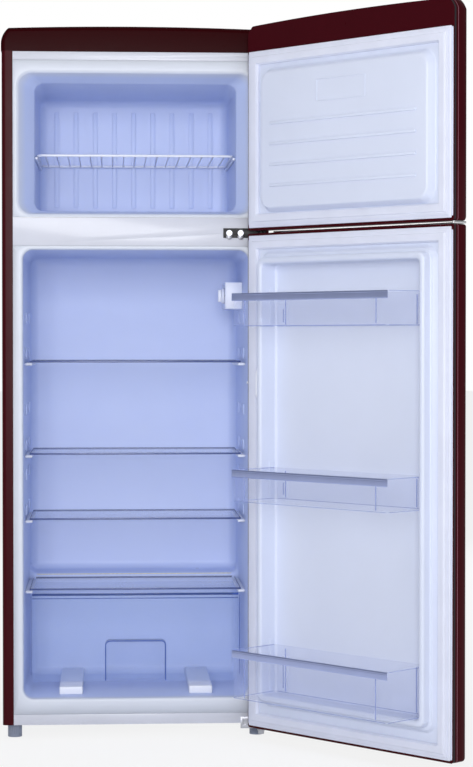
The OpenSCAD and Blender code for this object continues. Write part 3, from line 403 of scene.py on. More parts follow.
def moulded(name, colour, rough=0.42, grain=0.012, vary=0.05):
    """Satin moulded plastic: a fine grain, faint flow marks and a little wear in the gloss."""
    f = Finish(name)
    flow = f.noise(180, 3)
    grain_noise = f.noise(1.4, 2)
    base = f.blend(flow, shade(colour, 1 - vary), shade(colour, 1 + vary))
    return f.done(Base_Color=base, Roughness=rough - 0.05 + 0.1 * f.noise(40, 3),
                  Normal=f.bump(grain_noise + 2.0 * flow, grain))


def sheet_with_painted_depth_shade(name, flange, deep):
    """Compartment sheet with the grain of moulded plastic: pale on the front flange, darker and
    bluer beyond the mouth, which is painted shade inside the compartments."""
    f = Finish(name)
    depth = f.node("ShaderNodeSeparateXYZ", {}, {"Vector": f.place}, "Y")
    # painted shade: the sheet turns from its lit flange colour to its shaded colour over the first 30 mm behind the
    # front
    front = span("fridge_liner")[0][1] * MM
    share = f.node("ShaderNodeMapRange", {}, {"Value": depth, "From Min": front + 0.001,
                                              "From Max": front + 0.03})
    flow = f.noise(180, 3)
    painted_depth_shade = f.blend(share, shade(flange, 1), shade(deep, 1))
    base = f.blend(flow, f.blend(0.05, painted_depth_shade, (0, 0, 0, 1)), painted_depth_shade)
    return f.done(Base_Color=base, Roughness=0.38 + 0.1 * f.noise(40, 3),
                  Normal=f.bump(f.noise(1.4, 2) + 2.0 * flow, 0.012))


def enamel(name, colour, rough=0.3, coat=0.6, gloss=0.5):
    """Gloss enamel on sheet metal: orange peel under a clear coat, faint dust in the gloss."""
    f = Finish(name)
    peel = f.noise(2.6, 2)
    cloud = f.noise(120, 4)
    base = f.blend(cloud, shade(colour, 0.9), shade(colour, 1.1))
    return f.done(Base_Color=base, Roughness=rough - 0.06 + 0.12 * f.noise(30, 4),
                  Specular_IOR_Level=gloss, Normal=f.bump(peel, 0.015), Coat_Weight=coat,
                  Coat_Roughness=0.12)


def metal(name, colour, rough=0.3, along=(1, 1, 1), depth=0.006, spots=0.08):
    """Metal with a drawn or brushed grain: noise stretched along the working direction."""
    f = Finish(name)
    lines = f.noise(1.2, 3, along)
    cloud = f.noise(35, 3)
    base = f.blend(cloud, shade(colour, 1 - spots), shade(colour, 1 + spots))
    return f.done(Base_Color=base, Metallic=1.0, Roughness=rough - 0.05 + 0.1 * lines,
                  Normal=f.bump(lines, depth))


def clear(name, colour, alpha, rough=0.12, vary=0.04):
    """Clear moulded plastic or glass: thin colour whose density and gloss vary a little."""
    f = Finish(name)
    cloud = f.noise(60, 3)
    return f.done(Base_Color=f.blend(cloud, shade(colour, 0.94), shade(colour, 1.06)),
                  Alpha=alpha - vary + 2 * vary * cloud, Roughness=rough + 0.05 * f.noise(14, 2),
                  IOR=1.49, Normal=f.bump(f.noise(30, 2), 0.02))


def rubber(name, colour, rough=0.6):
    """Soft extrusion: fine pores and a dusty bloom."""
    f = Finish(name)
    pores = f.noise(0.8, 2)
    bloom = f.noise(50, 4)
    return f.done(Base_Color=f.blend(bloom, shade(colour, 0.93), shade(colour, 1.05)),
                  Roughness=rough + 0.1 * bloom, Normal=f.bump(pores, 0.01))


def foam(name, colour):
    """Rigid foam: open cells in a coarse skin."""
    f = Finish(name)
    cells = f.node("ShaderNodeTexVoronoi", {}, {"Vector": f.place, "Scale": 260.0}, "Distance")
    return f.done(Base_Color=f.blend(cells, shade(colour, 0.75), shade(colour, 1.1)), Roughness=0.9,
                  Normal=f.bump(cells, 0.3))


FINISHES = {}


def make_finishes(c):
    """Every finish, by the name of its slot, and a few of their own."""
    FINISHES.update({
        "burgundy_paint": enamel("burgundy enamel", c.paint, 0.3, 0.0, 0.07),
        "cap_paint": enamel("cap enamel", c.cap, 0.3, 0.0, 0.03),
        "rail_enamel": enamel("rail enamel", c.rail, 0.4, 0.2),
        "liner_plastic": sheet_with_painted_depth_shade("compartment sheet", c.flange, c.cavity),
        "door_liner_plastic": moulded("door sheet", c.door_liner),
        "gasket_rubber": rubber("gasket", c.gasket, 0.5),
        "white_plastic": moulded("white plastic", c.white, 0.35),
        "grey_rail": metal("rail metal", c.bin_rail, 0.34, (0.05, 0.05, 6)),
        "chrome": metal("chromed trim", (0.78, 0.79, 0.82), 0.12, depth=0.001, spots=0.03),
        "bright_screw": metal("bright screws", (0.42, 0.43, 0.48), 0.42, depth=0.002),
        "hinge_steel": metal("plated steel", (0.40, 0.41, 0.46), 0.42),
        "zinc_steel": metal("zinc plate", (0.55, 0.57, 0.6), 0.42, spots=0.2),
        "aluminium_sheet": metal("rolled aluminium", (0.78, 0.79, 0.81), 0.36, (0.05, 6, 1)),
        "copper": metal("drawn copper", (0.72, 0.38, 0.2), 0.34, spots=0.15),
        "black_enamel": enamel("black enamel", (0.014, 0.014, 0.017), 0.42, 0.0, 0.25),
        "black_plastic": moulded("black plastic", (0.03, 0.03, 0.034), 0.5),
        "grey_plastic": moulded("grey plastic", (0.62, 0.64, 0.68), 0.5),
        "foot_plastic": moulded("foot plastic", c.foot, 0.5),
        "bush_plastic": moulded("bush plastic", (0.85, 0.85, 0.87), 0.4),
        "grommet_rubber": rubber("grommets", (0.05, 0.05, 0.055)),
        "insulation": foam("insulation", (0.8, 0.72, 0.42)),
        "shelf_glass": clear("shelf glass", c.glass, 0.16, 0.04, 0.02),
        "glass edge": clear("ground glass edge", c.glass_edge, 0.88, 0.2, 0.06),
        "drawer_plastic": clear("drawer plastic", c.drawer, 0.07, 0.1, 0.02),
        "drawer edge": clear("drawer edges", c.drawer_edge, 0.86, 0.1),
        "bin_plastic": clear("bin plastic", c.bin, 0.06, 0.08, 0.02),
        "bin edge": clear("bin edges", c.bin_edge, 0.62, 0.1),
        "bulb_glass": clear("frosted bulb", (0.98, 0.93, 0.8), 0.8, 0.4),
        # near-black finish laid where steps, holes and gaps fall into shade: painted shade
        "painted shade gap": moulded("dark recess", (0.012, 0.008, 0.012), 0.8),
        # pale enamel strip along the door skins: a painted highlight where the edge line catches the light
        "bead": enamel("enamel bead", (0.3, 0.11, 0.15), 0.4, 0.05, 0.3),
    })


def colour(name, description, default):
    """Colour property, with its default in linear red, green and blue."""
    return FloatVectorProperty(name=name, description=description, default=default,
                               subtype="COLOR")


class RefrigeratorColours(PropertyGroup):
    """Colours of the pieces."""
    paint: colour("Paint", "Enamel of the cabinet and doors", (0.044, 0.0014, 0.0045))
    cap: colour("Cap", "Enamel of the crowned cap", (0.024, 0.0004, 0.0014))
    rail: colour("Front rails", "Enamel of the front rails", (0.58, 0.60, 0.69))
    # the compartments' colour is the liner sheet in painted shade; the flanges' colour is the same sheet where the
    # light falls
    cavity: colour("Compartments", "Sheet of both compartments", (0.58, 0.67, 0.95))
    flange: colour("Flanges", "Front flanges of the compartments", (0.68, 0.72, 0.82))
    door_liner: colour("Door liners", "Sheet inside the doors", (0.68, 0.73, 0.88))
    gasket: colour("Gaskets", "Pleated door gaskets", (0.72, 0.75, 0.88))
    white: colour("White plastic", "Housing, knob and striker", (0.80, 0.83, 0.93))
    glass: colour("Glass", "Shelves, seen through", (0.62, 0.70, 0.92))
    glass_edge: colour("Glass edges", "Ground edges of the shelves", (0.045, 0.07, 0.22))
    drawer: colour("Drawer", "Clear plastic of the drawer", (0.42, 0.58, 1.0))
    drawer_edge: colour("Drawer edges", "Edges of the drawer", (0.06, 0.12, 0.42))
    bin: colour("Bins", "Clear plastic of the door bins", (0.50, 0.57, 0.88))
    bin_edge: colour("Bin edges", "Edges of the door bins", (0.36, 0.44, 0.80))
    bin_rail: colour("Bin rails", "Metal strips of the door bins", (0.40, 0.46, 0.74))
    foot: colour("Feet", "Levelling feet", (0.22, 0.25, 0.34))


def size(name, description, default):
    """Length property in metres, from a default in millimetres."""
    return FloatProperty(name=name, description=description, default=default * MM,
                         min=0.0, subtype="DISTANCE", unit="LENGTH")


class RefrigeratorSizes(PropertyGroup):
    """Sizes that the frame's boxes don't give."""
    sheet_edge: size("Sheet edge", "Rounding of the painted sides' front edges", 8)
    cap_corner: size("Cap corner", "Corner radius of the cap and of the upper door", 42)
    cap_edge: size("Cap edge", "Rounding of the cap's front and back edges", 9)
    door_edge: size("Door edge", "Rounding of the doors' outer edges", 12)
    door_corner: size("Door corner", "Corner radius of the doors at the split and below", 5)
    bulge: size("Bulge", "How far the doors' outer faces swell", 12)
    side_wall: size("Side wall", "Thickness beside the fresh food compartment", 42)
    cavity_corner: size("Compartment corner", "Rounding along the compartment's edges", 20)
    step_depth: size("Step depth", "Depth at which the step over the compressor begins", 332)
    step_top: size("Step top", "Height of the step over the compressor", 300)
    lip: size("Lip", "Rounding of the compartments' mouths", 5)
    mouth_wall: size("Mouth wall", "Thickness beside the freezer's mouth", 34)
    freezer_wall: size("Freezer wall", "Thickness beside the freezer", 64)
    flare: size("Flare", "Depth of the freezer's flared mouth", 60)
    recess_depth: size("Recess depth", "Depth of the recess in the lower door", 25)
    dyke: size("Dyke", "Height of the dykes beside the bins", 18)
    bin_corner: size("Bin corner", "Corner radius of the door bins", 6)
    bin_wall: size("Bin wall", "Thickness of the door bins", 2)
    drawer_wall: size("Drawer wall", "Thickness of the drawer", 2.5)
    drawer_corner: size("Drawer corner", "Lower corner radius of the drawer", 15)


def settings(context):
    """Sizes in millimetres, by name."""
    group = context.scene.refrigerator_sizes
    return {key: getattr(group, key) / MM for key in group.__annotations__}


# ---------- cabinet ----------

class FRIDGE_OT_finishes(Operator):
    """Makes the finishes and puts them on the frame's own nodes"""
    bl_idname = "refrigerator.finishes"
    bl_label = "Finishes"

    def execute(self, context):
        make_finishes(context.scene.refrigerator_colours)
        slots = {row["node"]: row["material_slot"] for row in frame["record"]["subparts"]}
        for node, obj in frame["nodes"].items():
            for slot in obj.material_slots:
                slot.material = FINISHES[slots[node]]
        return {"FINISHED"}


class FRIDGE_OT_wrap(Operator):
    """Painted wrap of the cabinet, with rounded front edges"""
    bl_idname = "refrigerator.wrap"
    bl_label = "Painted wrap"

    def execute(self, context):
        s = settings(context)
        low, high = span("outer_shell")
        half = high[0]
        returned = span("front_rails")[1][0]
        t = 1.0
        r = s["sheet_edge"]
        outer = eased_path([[half, high[1]], [half, low[1]], [returned, low[1]]], [r], 8)
        inner = eased_path([[returned, low[1] + t], [half - t, low[1] + t], [half - t, high[1]]],
                           [r - t], 8)
        plan = np.concatenate([outer, inner])
        parts = []
        for side in (-1, 1):
            loops = np.stack([np.stack([side * plan[:, 0], plan[:, 1], np.full(len(plan), z)], -1)
                              for z in (low[2], high[2])])
            parts.append(sleeve(loops, "flat", "flat"))
        parts.append(brick([-half + t, low[1] + t, high[2] - t], [half - t, high[1], high[2]], 0.3))
        piece("painted_wrap", parts, "cabinet", "burgundy_paint",
              ["outer_shell"])
        return {"FINISHED"}


def crown_rows(half, corner, top, rise, inset, edge=None, arc=14, across=24):
    """Columns of a crowned top: x runs through a corner's arc, the crown and the other arc;
    z is the lower of the corner's circle and the crown's circle. One row for each inset. An
    edge short of the half width cuts the corner's arc off there."""
    inset = np.atleast_1d(np.asarray(inset, float))[:, None]
    reach = math.asin(min(1.0, ((edge or half) - half + corner) / corner))
    turn = np.linspace(reach, 0, arc + 1)
    radius = np.maximum(corner - inset, 0.5)
    flat = half - inset - radius
    crown = (half * half + rise * rise) / (2 * rise) - inset
    left = -(flat + radius * np.sin(turn))
    middle = flat * np.linspace(-1, 1, across + 1)[1:-1]
    x = np.concatenate([left, middle, -left[:, ::-1]], 1)
    out = np.maximum(np.abs(x) - flat, 0)
    ball = top + rise - inset - radius + np.sqrt(np.maximum(radius ** 2 - out ** 2, 0))
    arch = top - inset - crown + np.sqrt(crown ** 2 - x ** 2)
    return x, np.minimum(ball, arch)


class FRIDGE_OT_cap(Operator):
    """Crowned cap, rounded along its front and back edges"""
    bl_idname = "refrigerator.cap"
    bl_label = "Crowned cap"

    def execute(self, context):
        s = settings(context)
        low, high = span("top_cap")
        r = s["cap_edge"]
        t = np.linspace(0, np.pi / 2, 9)
        inset = np.concatenate([r * (1 - np.sin(t)), r * (1 - np.sin(t[::-1]))])
        depth = np.concatenate([low[1] + r * (1 - np.cos(t)), high[1] - r * (1 - np.cos(t[::-1]))])
        x, top = crown_rows(high[0], s["cap_corner"], high[2], 5.0, inset)
        bottom = np.full_like(x, low[2])
        y = np.broadcast_to(depth[:, None], x.shape)
        lower = np.stack([x, y, bottom], -1)
        upper = np.stack([x, y, top], -1)[:, ::-1]
        loops = np.concatenate([lower, upper], 1)
        piece("crowned_cap", [sleeve(loops, "rungs", "rungs")], "cabinet", "cap_paint", ["top_cap"])
        return {"FINISHED"}


class FRIDGE_OT_rails(Operator):
    """Front rails with softened edges"""
    bl_idname = "refrigerator.rails"
    bl_label = "Front rails"

    def execute(self, context):
        eased_copy("front_rails", "front_rail_set", "rail_enamel", 0.8)
        return {"FINISHED"}


class FRIDGE_OT_fresh_food(Operator):
    """Moulded fresh food compartment with its rounded edges, step and rolled mouth"""
    bl_idname = "refrigerator.fresh_food"
    bl_label = "Fresh food compartment"

    def execute(self, context):
        s = settings(context)
        low, high = span("fridge_liner")
        front = low[1]
        t = 2.0
        half = span("outer_shell")[1][0] - s["side_wall"]
        floor = span("shelf_supports")[0][2]
        ceiling = high[2] + 0.3 - 8
        back = high[1] - t
        r, lip = s["cavity_corner"], s["lip"]
        step_y, step_z = front + s["step_depth"], s["step_top"]
        path = eased_path([[front + lip, floor], [step_y, floor], [step_y, step_z], [back, step_z],
                           [back, ceiling], [front + lip, ceiling]], [r, 10, 16, r], 8)
        normals = path_normals(path)
        turn = np.linspace(np.pi / 2, 0, 9)
        flat = np.linspace(-1, 1, 7)[1:-1] * (half - r)
        x = np.concatenate([-(half - r + r * np.sin(turn)), flat,
                            (half - r + r * np.sin(turn))[::-1]])
        side = np.concatenate([turn, np.zeros(len(flat)), turn[::-1]])
        inset = r * (1 - np.cos(side))
        deep = 1.35
        grid = np.empty((len(path), len(x), 3))
        grid[..., 0] = x
        grid[..., 1] = path[:, 0, None] + deep * inset * normals[:, 0, None]
        grid[..., 2] = path[:, 1, None] + inset * normals[:, 1, None]
        rows, columns = grid.shape[:2]
        faces = grid_faces(rows, columns, wrap_columns=False)
        faces.append([i * columns for i in range(rows)])
        faces.append([i * columns + columns - 1 for i in range(rows)])
        # rolled mouth and flange: the mouth's outline grown by a quarter circle, then squared
        roll = np.linspace(0, np.pi / 2, 6)
        grow = np.append(lip * (1 - np.cos(roll)), lip + 0.8)
        depth = np.append(front + lip * (1 - np.sin(roll)), front)
        away = np.stack([np.sin(side) * np.sign(x), np.cos(side)], -1)
        loops = []
        for g, y in zip(grow, depth):
            bottom = upright(x + g * away[:, 0], y, floor + inset - g * away[:, 1])
            top = upright(x + g * away[:, 0], y, ceiling - inset + g * away[:, 1])
            loops.append(np.concatenate([bottom, top[::-1]]))
        wide = x * (high[0] / half)
        for y in (front, front + t):
            bottom = upright(wide, y, low[2])
            top = upright(wide, y, high[2])
            loops.append(np.concatenate([bottom, top[::-1]]))
        mouth = sleeve(np.array(loops[:-1]))
        piece("fresh_food_liner", [(grid.reshape(-1, 3), faces), mouth], "cabinet",
              "liner_plastic", ["fridge_liner"], thick=1.6, facing=(0, -1, 0), smooth=50)
        return {"FINISHED"}


class FRIDGE_OT_freezer(Operator):
    """Moulded freezer compartment with its flared mouth and ribbed back"""
    bl_idname = "refrigerator.freezer"
    bl_label = "Freezer compartment"

    def execute(self, context):
        s = settings(context)
        low, high = span("freezer_liner")
        front, t = low[1], 2.0
        shell = span("outer_shell")[1][0]
        mouth_x, room_x = shell - s["mouth_wall"], shell - s["freezer_wall"]
        m0, m1 = low[2] - 0.3 + 7, high[2] + 0.3 - 25.5
        z0, z1 = m0 + 9, m1 - 15
        back = high[1] - t
        lip, flare = s["lip"], s["flare"]
        # stations: depth, half width, lower and upper edge, corner radius
        path = eased_path([[front, mouth_x + lip + 0.8], [front, mouth_x + lip], [front + lip, mouth_x], [front + flare, room_x],
                           [back, room_x], [back, room_x - 40]], [0, lip, 14, 22], 8)
        depth, half = path[:, 0], path[:, 1]
        share = np.interp(half, [room_x, mouth_x], [0, 1])
        extra = half - np.clip(half, room_x, mouth_x)
        low_z = z0 + (m0 - z0) * share - extra
        high_z = z1 + (m1 - z1) * share + extra
        corner = np.clip(18 + 8 * share + extra, 0.5, None)
        corner = np.where(half < room_x, np.maximum(18 + extra, 4), corner)
        x, z = rect_loops(-half, half, low_z, high_z, corner)
        loops = np.stack([x, np.broadcast_to(depth[:, None], x.shape), z], -1)
        square_x, square_z = rect_loops(-high[0], high[0], low[2], high[2], 0.5)
        rim = np.stack([square_x, np.full_like(square_x, front), square_z], -1)
        parts = [sleeve(np.concatenate([rim, loops]), None, "flat")]
        piece("freezer_liner_sheet", parts, "cabinet", "liner_plastic",
              ["freezer_liner"], thick=1.6, facing=(0, -1, 0), smooth=50)
        ribs = [brick([i * 42 - 5, back - 2.4, z0 + 26], [i * 42 + 5, back - 0.01, z1 - 26], 1.1, 4)
                for i in range(-4, 5)]
        piece("freezer_back_ribs", ribs, "cabinet", "liner_plastic")
        return {"FINISHED"}


class FRIDGE_OT_bosses(Operator):
    """Small moulded bosses on the compartment's walls, and the drain in its step"""
    bl_idname = "refrigerator.bosses"
    bl_label = "Bosses and drain"

    def execute(self, context):
        s = settings(context)
        low, high = span("fridge_liner")
        half = span("outer_shell")[1][0] - s["side_wall"]
        front = low[1]
        parts = []
        for node in ("glass_shelf_top", "glass_shelf_middle", "glass_shelf_bottom"):
            z = span(node)[1][2]
            for side in (-1, 1):
                wall = sorted((side * half, side * (half - 3)))
                for base in (z + 4, z + 78):
                    for y in (front + 130, front + 290):
                        parts.append(brick([wall[0], y, base], [wall[1], y + 16, base + 22], 2.6,
                                           4))
        piece("wall_bosses", parts, "cabinet", "liner_plastic")
        x, y, z = 140, front + 404, s["step_top"]
        cup = eased_path([[0.1, -0.4], [5, -0.4], [5, 0.6], [7, 1.2], [9.5, 1.0], [10.5, -0.3]],
                         [0.2, 0.3, 0.5, 0.5], 3)
        piece("drain_rim", [lathe(cup, [x, y, z], [0, 0, 1])], "cabinet", "liner_plastic")
        # near-black disc in the drain: painted shade inside the hole
        piece("drain_bore", [lathe([[0.1, 0], [4.6, 0], [4.6, 0.5], [0.1, 0.5]], [x, y, z], [0, 0, 1])],
              "cabinet", "liner_plastic", look="painted shade gap")
        return {"FINISHED"}


class FRIDGE_OT_supports(Operator):
    """Ledges under the shelves and the drawer's runners, with rounded ends"""
    bl_idname = "refrigerator.supports"
    bl_label = "Shelf ledges and runners"

    def execute(self, context):
        eased_copy("shelf_supports", "ledges_and_runners", "liner_plastic", 2.5, 4,
                   look="white_plastic")
        return {"FINISHED"}


# ---------- doors ----------

def door_loops(low, high, s, top_corner, rise, crown_half, inset, depth, swell):
    """Closed outlines of a shut door, one for each inset and depth: a straight foot with
    small corners, upright sides and a crowned top. The face swells by
    bulge * (1 - (x / half) ** 2), times the swell of each row."""
    inset, depth, swell = (np.asarray(v, float) for v in (inset, depth, swell))
    half, foot = high[0], s["door_corner"]
    x, top = crown_rows(crown_half, top_corner, high[2], rise, inset, half)
    out = np.clip((np.abs(x) - (half - inset[:, None] - foot)) / foot, 0, 1)
    bottom = low[2] + inset[:, None] + foot * (1 - np.sqrt(1 - out ** 2))
    y = depth[:, None] - s["bulge"] * (1 - (x / half) ** 2) * swell[:, None]
    return np.concatenate([np.stack([x, y, bottom], -1), np.stack([x, y, top], -1)[:, ::-1]], 1)


class FRIDGE_OT_door_skins(Operator):
    """Painted skins of both doors, with the dark joint (painted shade) and the fine bead (painted highlight) along
    their edges
    """
    bl_idname = "refrigerator.door_skins"
    bl_label = "Door skins"

    def execute(self, context):
        s = settings(context)
        r = s["door_edge"]
        turn = np.linspace(0, np.pi / 2, 9)
        arc = r * (1 - np.cos(turn))
        for door, top_corner, rise in (("freezer_door", s["cap_corner"], 5.0),
                                       ("fridge_door", s["door_corner"], 0.5)):
            low, high = closed_span(door + "_skin")
            liner_low, liner_high = closed_span(door + "_liner")
            crown = span("top_cap")[1][0] if door == "freezer_door" else high[0]
            inner, edge = high[1], low[1] + s["bulge"] + 0.4
            joint, bead, tray = inner - 7, inner - 13, inner - 30
            outline = lambda inset, depth, swell: door_loops(low, high, s, top_corner, rise, crown,
                                                             inset, depth, swell)
            steps = [(0.6, inner), (0, inner - 0.8), (0, inner - 1.0), (0.8, inner - 1.2), (0.8, joint + 0.2),
                     (0.25, joint), (0.25, bead), (0, bead - 0.5)]
            inset = np.concatenate([[a for a, _ in steps], arc])
            depth = np.concatenate([[b for _, b in steps], edge + r * (1 - np.sin(turn))])
            swell = np.concatenate([np.zeros(len(steps)), arc / r])
            loops = outline(inset, depth, swell)
            wide = loops[0, :len(loops[0]) // 2, 0] * (high[0] - 1.2) / high[0]
            window = [np.concatenate([upright(wide, y, z0),
                                      upright(wide, y, z1)[::-1]])
                      for y, z0, z1 in ((tray, liner_low[2] - 0.3, liner_high[2] + 0.3),
                                        (inner, liner_low[2] - 0.3, liner_high[2] + 0.3))]
            shell = sleeve(np.concatenate([window, loops]), "rungs", "rungs")
            piece(door + "_panel", [shell], door, "burgundy_paint",
                  [door + "_skin", door + "_foam"], door=True, smooth=30)
            # joint: near-black band of painted shade in the step; bead: pale strip of painted highlight
            for name, out, near, far, look in (("joint", 0.45, inner - 1.4, joint + 0.4,
                                                "painted shade gap"),
                                                 ("bead", 0.05, bead + 1.3, bead + 0.2, "bead")):
                ring = outline([out, out, 1.1, 1.1], [near, far, far, near], np.zeros(4))
                piece(f"{door}_{name}", [sleeve(ring, wrap=True)], door, "burgundy_paint",
                      look=look, door=True)
        return {"FINISHED"}


def pressed_sheet(stations, path, steps=10):
    """Sheet pressed into steps: a path of (half width, depth) gives one rounded rectangle a
    point, whose edges and corner radius are read off the stations at that half width."""
    half, depth = path[:, 0], path[:, 1]
    at = np.array(stations)[::-1]
    low, high, corner = (np.interp(half, at[:, 0], at[:, i]) for i in (1, 2, 3))
    x, z = rect_loops(-half, half, low, high, corner, steps)
    return np.stack([x, np.broadcast_to(depth[:, None], x.shape), z], -1)


class FRIDGE_OT_door_liners(Operator):
    """Moulded liners of both doors"""
    bl_idname = "refrigerator.door_liners"
    bl_label = "Door liners"

    def execute(self, context):
        s = settings(context)
        plane = closed_span("fridge_door_skin")[1][1]
        line = span("fridge_liner")[0][1] - 0.3
        low, high = closed_span("fridge_door_liner")
        half = high[0]
        cavity = span("shelf_supports")[1][0]
        floor = span("shelf_supports")[0][2]
        ceiling = span("fridge_liner")[1][2] + 0.3 - 8
        d = cavity - 9
        rec = d - 13.5
        z0, z1 = floor + 6, ceiling - 18
        stations = [(half, low[2], high[2], 4), (d + 13, z0 - 13, z1 + 13, 28), (d + 7, z0 - 7, z1 + 7, 22),
                    (d, z0, z1, 16), (rec, z0 + 14, z1 - 14.2, 8), (rec - 60, z0 + 74, z1 - 74.2, 8)]
        path = eased_path([[half, plane - 1.5], [half, plane], [d + 12, plane], [d + 6, line - 1],
                           [d + 0.5, line - 1], [d - 0.8, line + s["dyke"]], [rec + 0.6, line + s["dyke"]],
                           [rec, line - s["recess_depth"]], [rec - 60, line - s["recess_depth"]]],
                          [0.8, 4, 3, 2.5, 5.5, 5.5, 6], 6)
        piece("fridge_door_inner", [sleeve(pressed_sheet(stations, path), None, "flat")],
              "fridge_door",
              "door_liner_plastic", ["fridge_door_liner"], door=True,
              thick=1.6, facing=(0, 1, 0), smooth=50)
        low, high = closed_span("freezer_door_liner")
        mouth_x = span("outer_shell")[1][0] - s["mouth_wall"]
        f_low, f_high = span("freezer_liner")
        p = mouth_x - 19
        z0, z1 = f_low[2] - 0.3 + 15, f_high[2] + 0.3 - 33
        stations = [(half, low[2], high[2], 4), (p + 12, z0 - 12, z1 + 12, 30), (p, z0, z1, 24),
                    (p - 60, z0 + 60, z1 - 60, 8)]
        path = eased_path([[half, plane - 1.5], [half, plane], [p + 8, plane], [p, line + 8],
                           [p - 60, line + 8]], [0.8, 4, 5], 6)
        parts = [sleeve(pressed_sheet(stations, path), None, "flat")]
        piece("freezer_door_inner", parts, "freezer_door", "door_liner_plastic",
              ["freezer_door_liner"], door=True, thick=1.6,
              facing=(0, 1, 0), smooth=50)
        ribs = []
        for i in range(4):
            z = z0 + 42 + 41 * i
            ribs.append(brick([-p + 26, line + 7.5, z - 1], [p - 26, line + 10.8, z + 5], 2.2, 4))
        field = (z0 + 200, z1 - 25)
        for a, b in (([-64, field[0]], [64, field[0] + 2]), ([-64, field[1] - 2], [64, field[1]]),
                     ([-64, field[0]], [-62, field[1]]), ([62, field[0]], [64, field[1]])):
            ribs.append(brick([a[0], line + 7.5, a[1]], [b[0], line + 9, b[1]], 0.7, 2))
        piece("freezer_door_ribs", ribs, "freezer_door", "door_liner_plastic", door=True)
        # seats behind the bins, slots beside them as darker strips of painted shade, and screws at the liners' corners
        # as near-black discs of painted shade
        seats, slots, screws = [], [], []
        for place in ("top", "middle", "bottom"):
            bin_low, bin_high = closed_span("door_bin_" + place)
            for side in (-1, 1):
                wall = sorted((side * (rec + 0.3), side * (rec - 1.4)))
                seats.append(brick([wall[0], line - 19, bin_low[2] + 4], [wall[1], line - 5, bin_high[2] + 12], 0.7, 3))
            seats.append(brick([rec - 34, line - 25.2, bin_low[2] + 2], [rec - 6, line - 23, bin_high[2] - 22], 0.9, 3))
            slots.append(brick([rec - 24, line - 23.1, bin_low[2] + 8], [rec - 21, line - 22.8, bin_high[2] - 30], 0.1, 2))
        piece("bin_seats", seats, "fridge_door", "door_liner_plastic", door=True)
        # slots: thin strips in the darker bin edge finish, painted shade in the grooves
        piece("seat_slots", slots, "fridge_door", "door_liner_plastic", look="bin edge", door=True)
        for door in ("freezer_door", "fridge_door"):
            a, b = closed_span(door + "_liner")
            corners = [(x, z) for x in (a[0] + 16, b[0] - 16) for z in (a[2] + 22, b[2] - 14)]
            # near-black discs at the screws: painted shade of their holes
            screws = [lathe([[0.05, 0], [2.4, 0], [2.2, 0.25], [0.05, 0.3]], [x, plane - 0.02, z],
                            [0, 1, 0], 20)
                      for x, z in corners]
            piece(door + "_liner_screws", screws, door, "door_liner_plastic", look="painted shade gap",
                  door=True)
        return {"FINISHED"}


class FRIDGE_OT_gaskets(Operator):
    """Pleated magnetic gaskets with mitred corners"""
    bl_idname = "refrigerator.gaskets"
    bl_label = "Gaskets"

    def execute(self, context):
        for door in ("freezer_door", "fridge_door"):
            low, high = closed_span(door + "_gasket")
            base, line = low[1], high[1]
            d = line - base
            # closed profile: how far in from the outer edge, and the depth
            profile = np.array([[0, 0], [0, 0.22 * d], [2, 0.40 * d], [7, 0.40 * d], [5.2, 0.52 * d],
                                [6, 0.62 * d], [11, 0.66 * d], [11.6, 0.8 * d], [12.4, 0.97 * d],
                                [14, d], [24, d], [25.5, 0.95 * d], [25.8, 0.7 * d], [27.5, 0.5 * d],
                                [28, 0.2 * d], [28, 0]])
            profile = eased_path(profile, [0.5] * (len(profile) - 2), 3)
            x, z = rect_loops(low[0] + profile[:, 0], high[0] - profile[:, 0], low[2] + profile[:, 0],
                              high[2] - profile[:, 0], 1.5, 2)
            y = np.broadcast_to(base + profile[:, 1][:, None], x.shape)
            piece(door + "_seal", [sleeve(np.stack([x, y, z], -1), wrap=True)], door,
                  "gasket_rubber", [door + "_gasket"], door=True, smooth=35)
        return {"FINISHED"}


def bin_shell(low, high, s):
    """Open bin: rounded rectangles up the outside, over the rim and down the inside."""
    r, wall = s["bin_corner"], s["bin_wall"]
    t = np.linspace(0, np.pi / 2, 5)
    foot = 3.0
    out = [(foot * (1 - np.sin(a)), low[2] + foot * (1 - np.cos(a))) for a in t]
    rim = [(0.0, high[2] - 0.8), (0.4, high[2]), (wall - 0.4, high[2]), (wall, high[2] - 0.8)]
    inner = [(wall + foot * (1 - np.cos(a)), low[2] + wall + foot * (1 - np.sin(a))) for a in t]
    inset, level = np.array(out + rim + inner).T
    x, y = rect_loops(low[0] + inset, high[0] - inset, low[1] + inset, high[1] - inset,
                      np.maximum(r - inset, 0.8), 6)
    z = np.broadcast_to(level[:, None], x.shape)
    return sleeve(np.stack([x, y, z], -1), "flat", "flat")


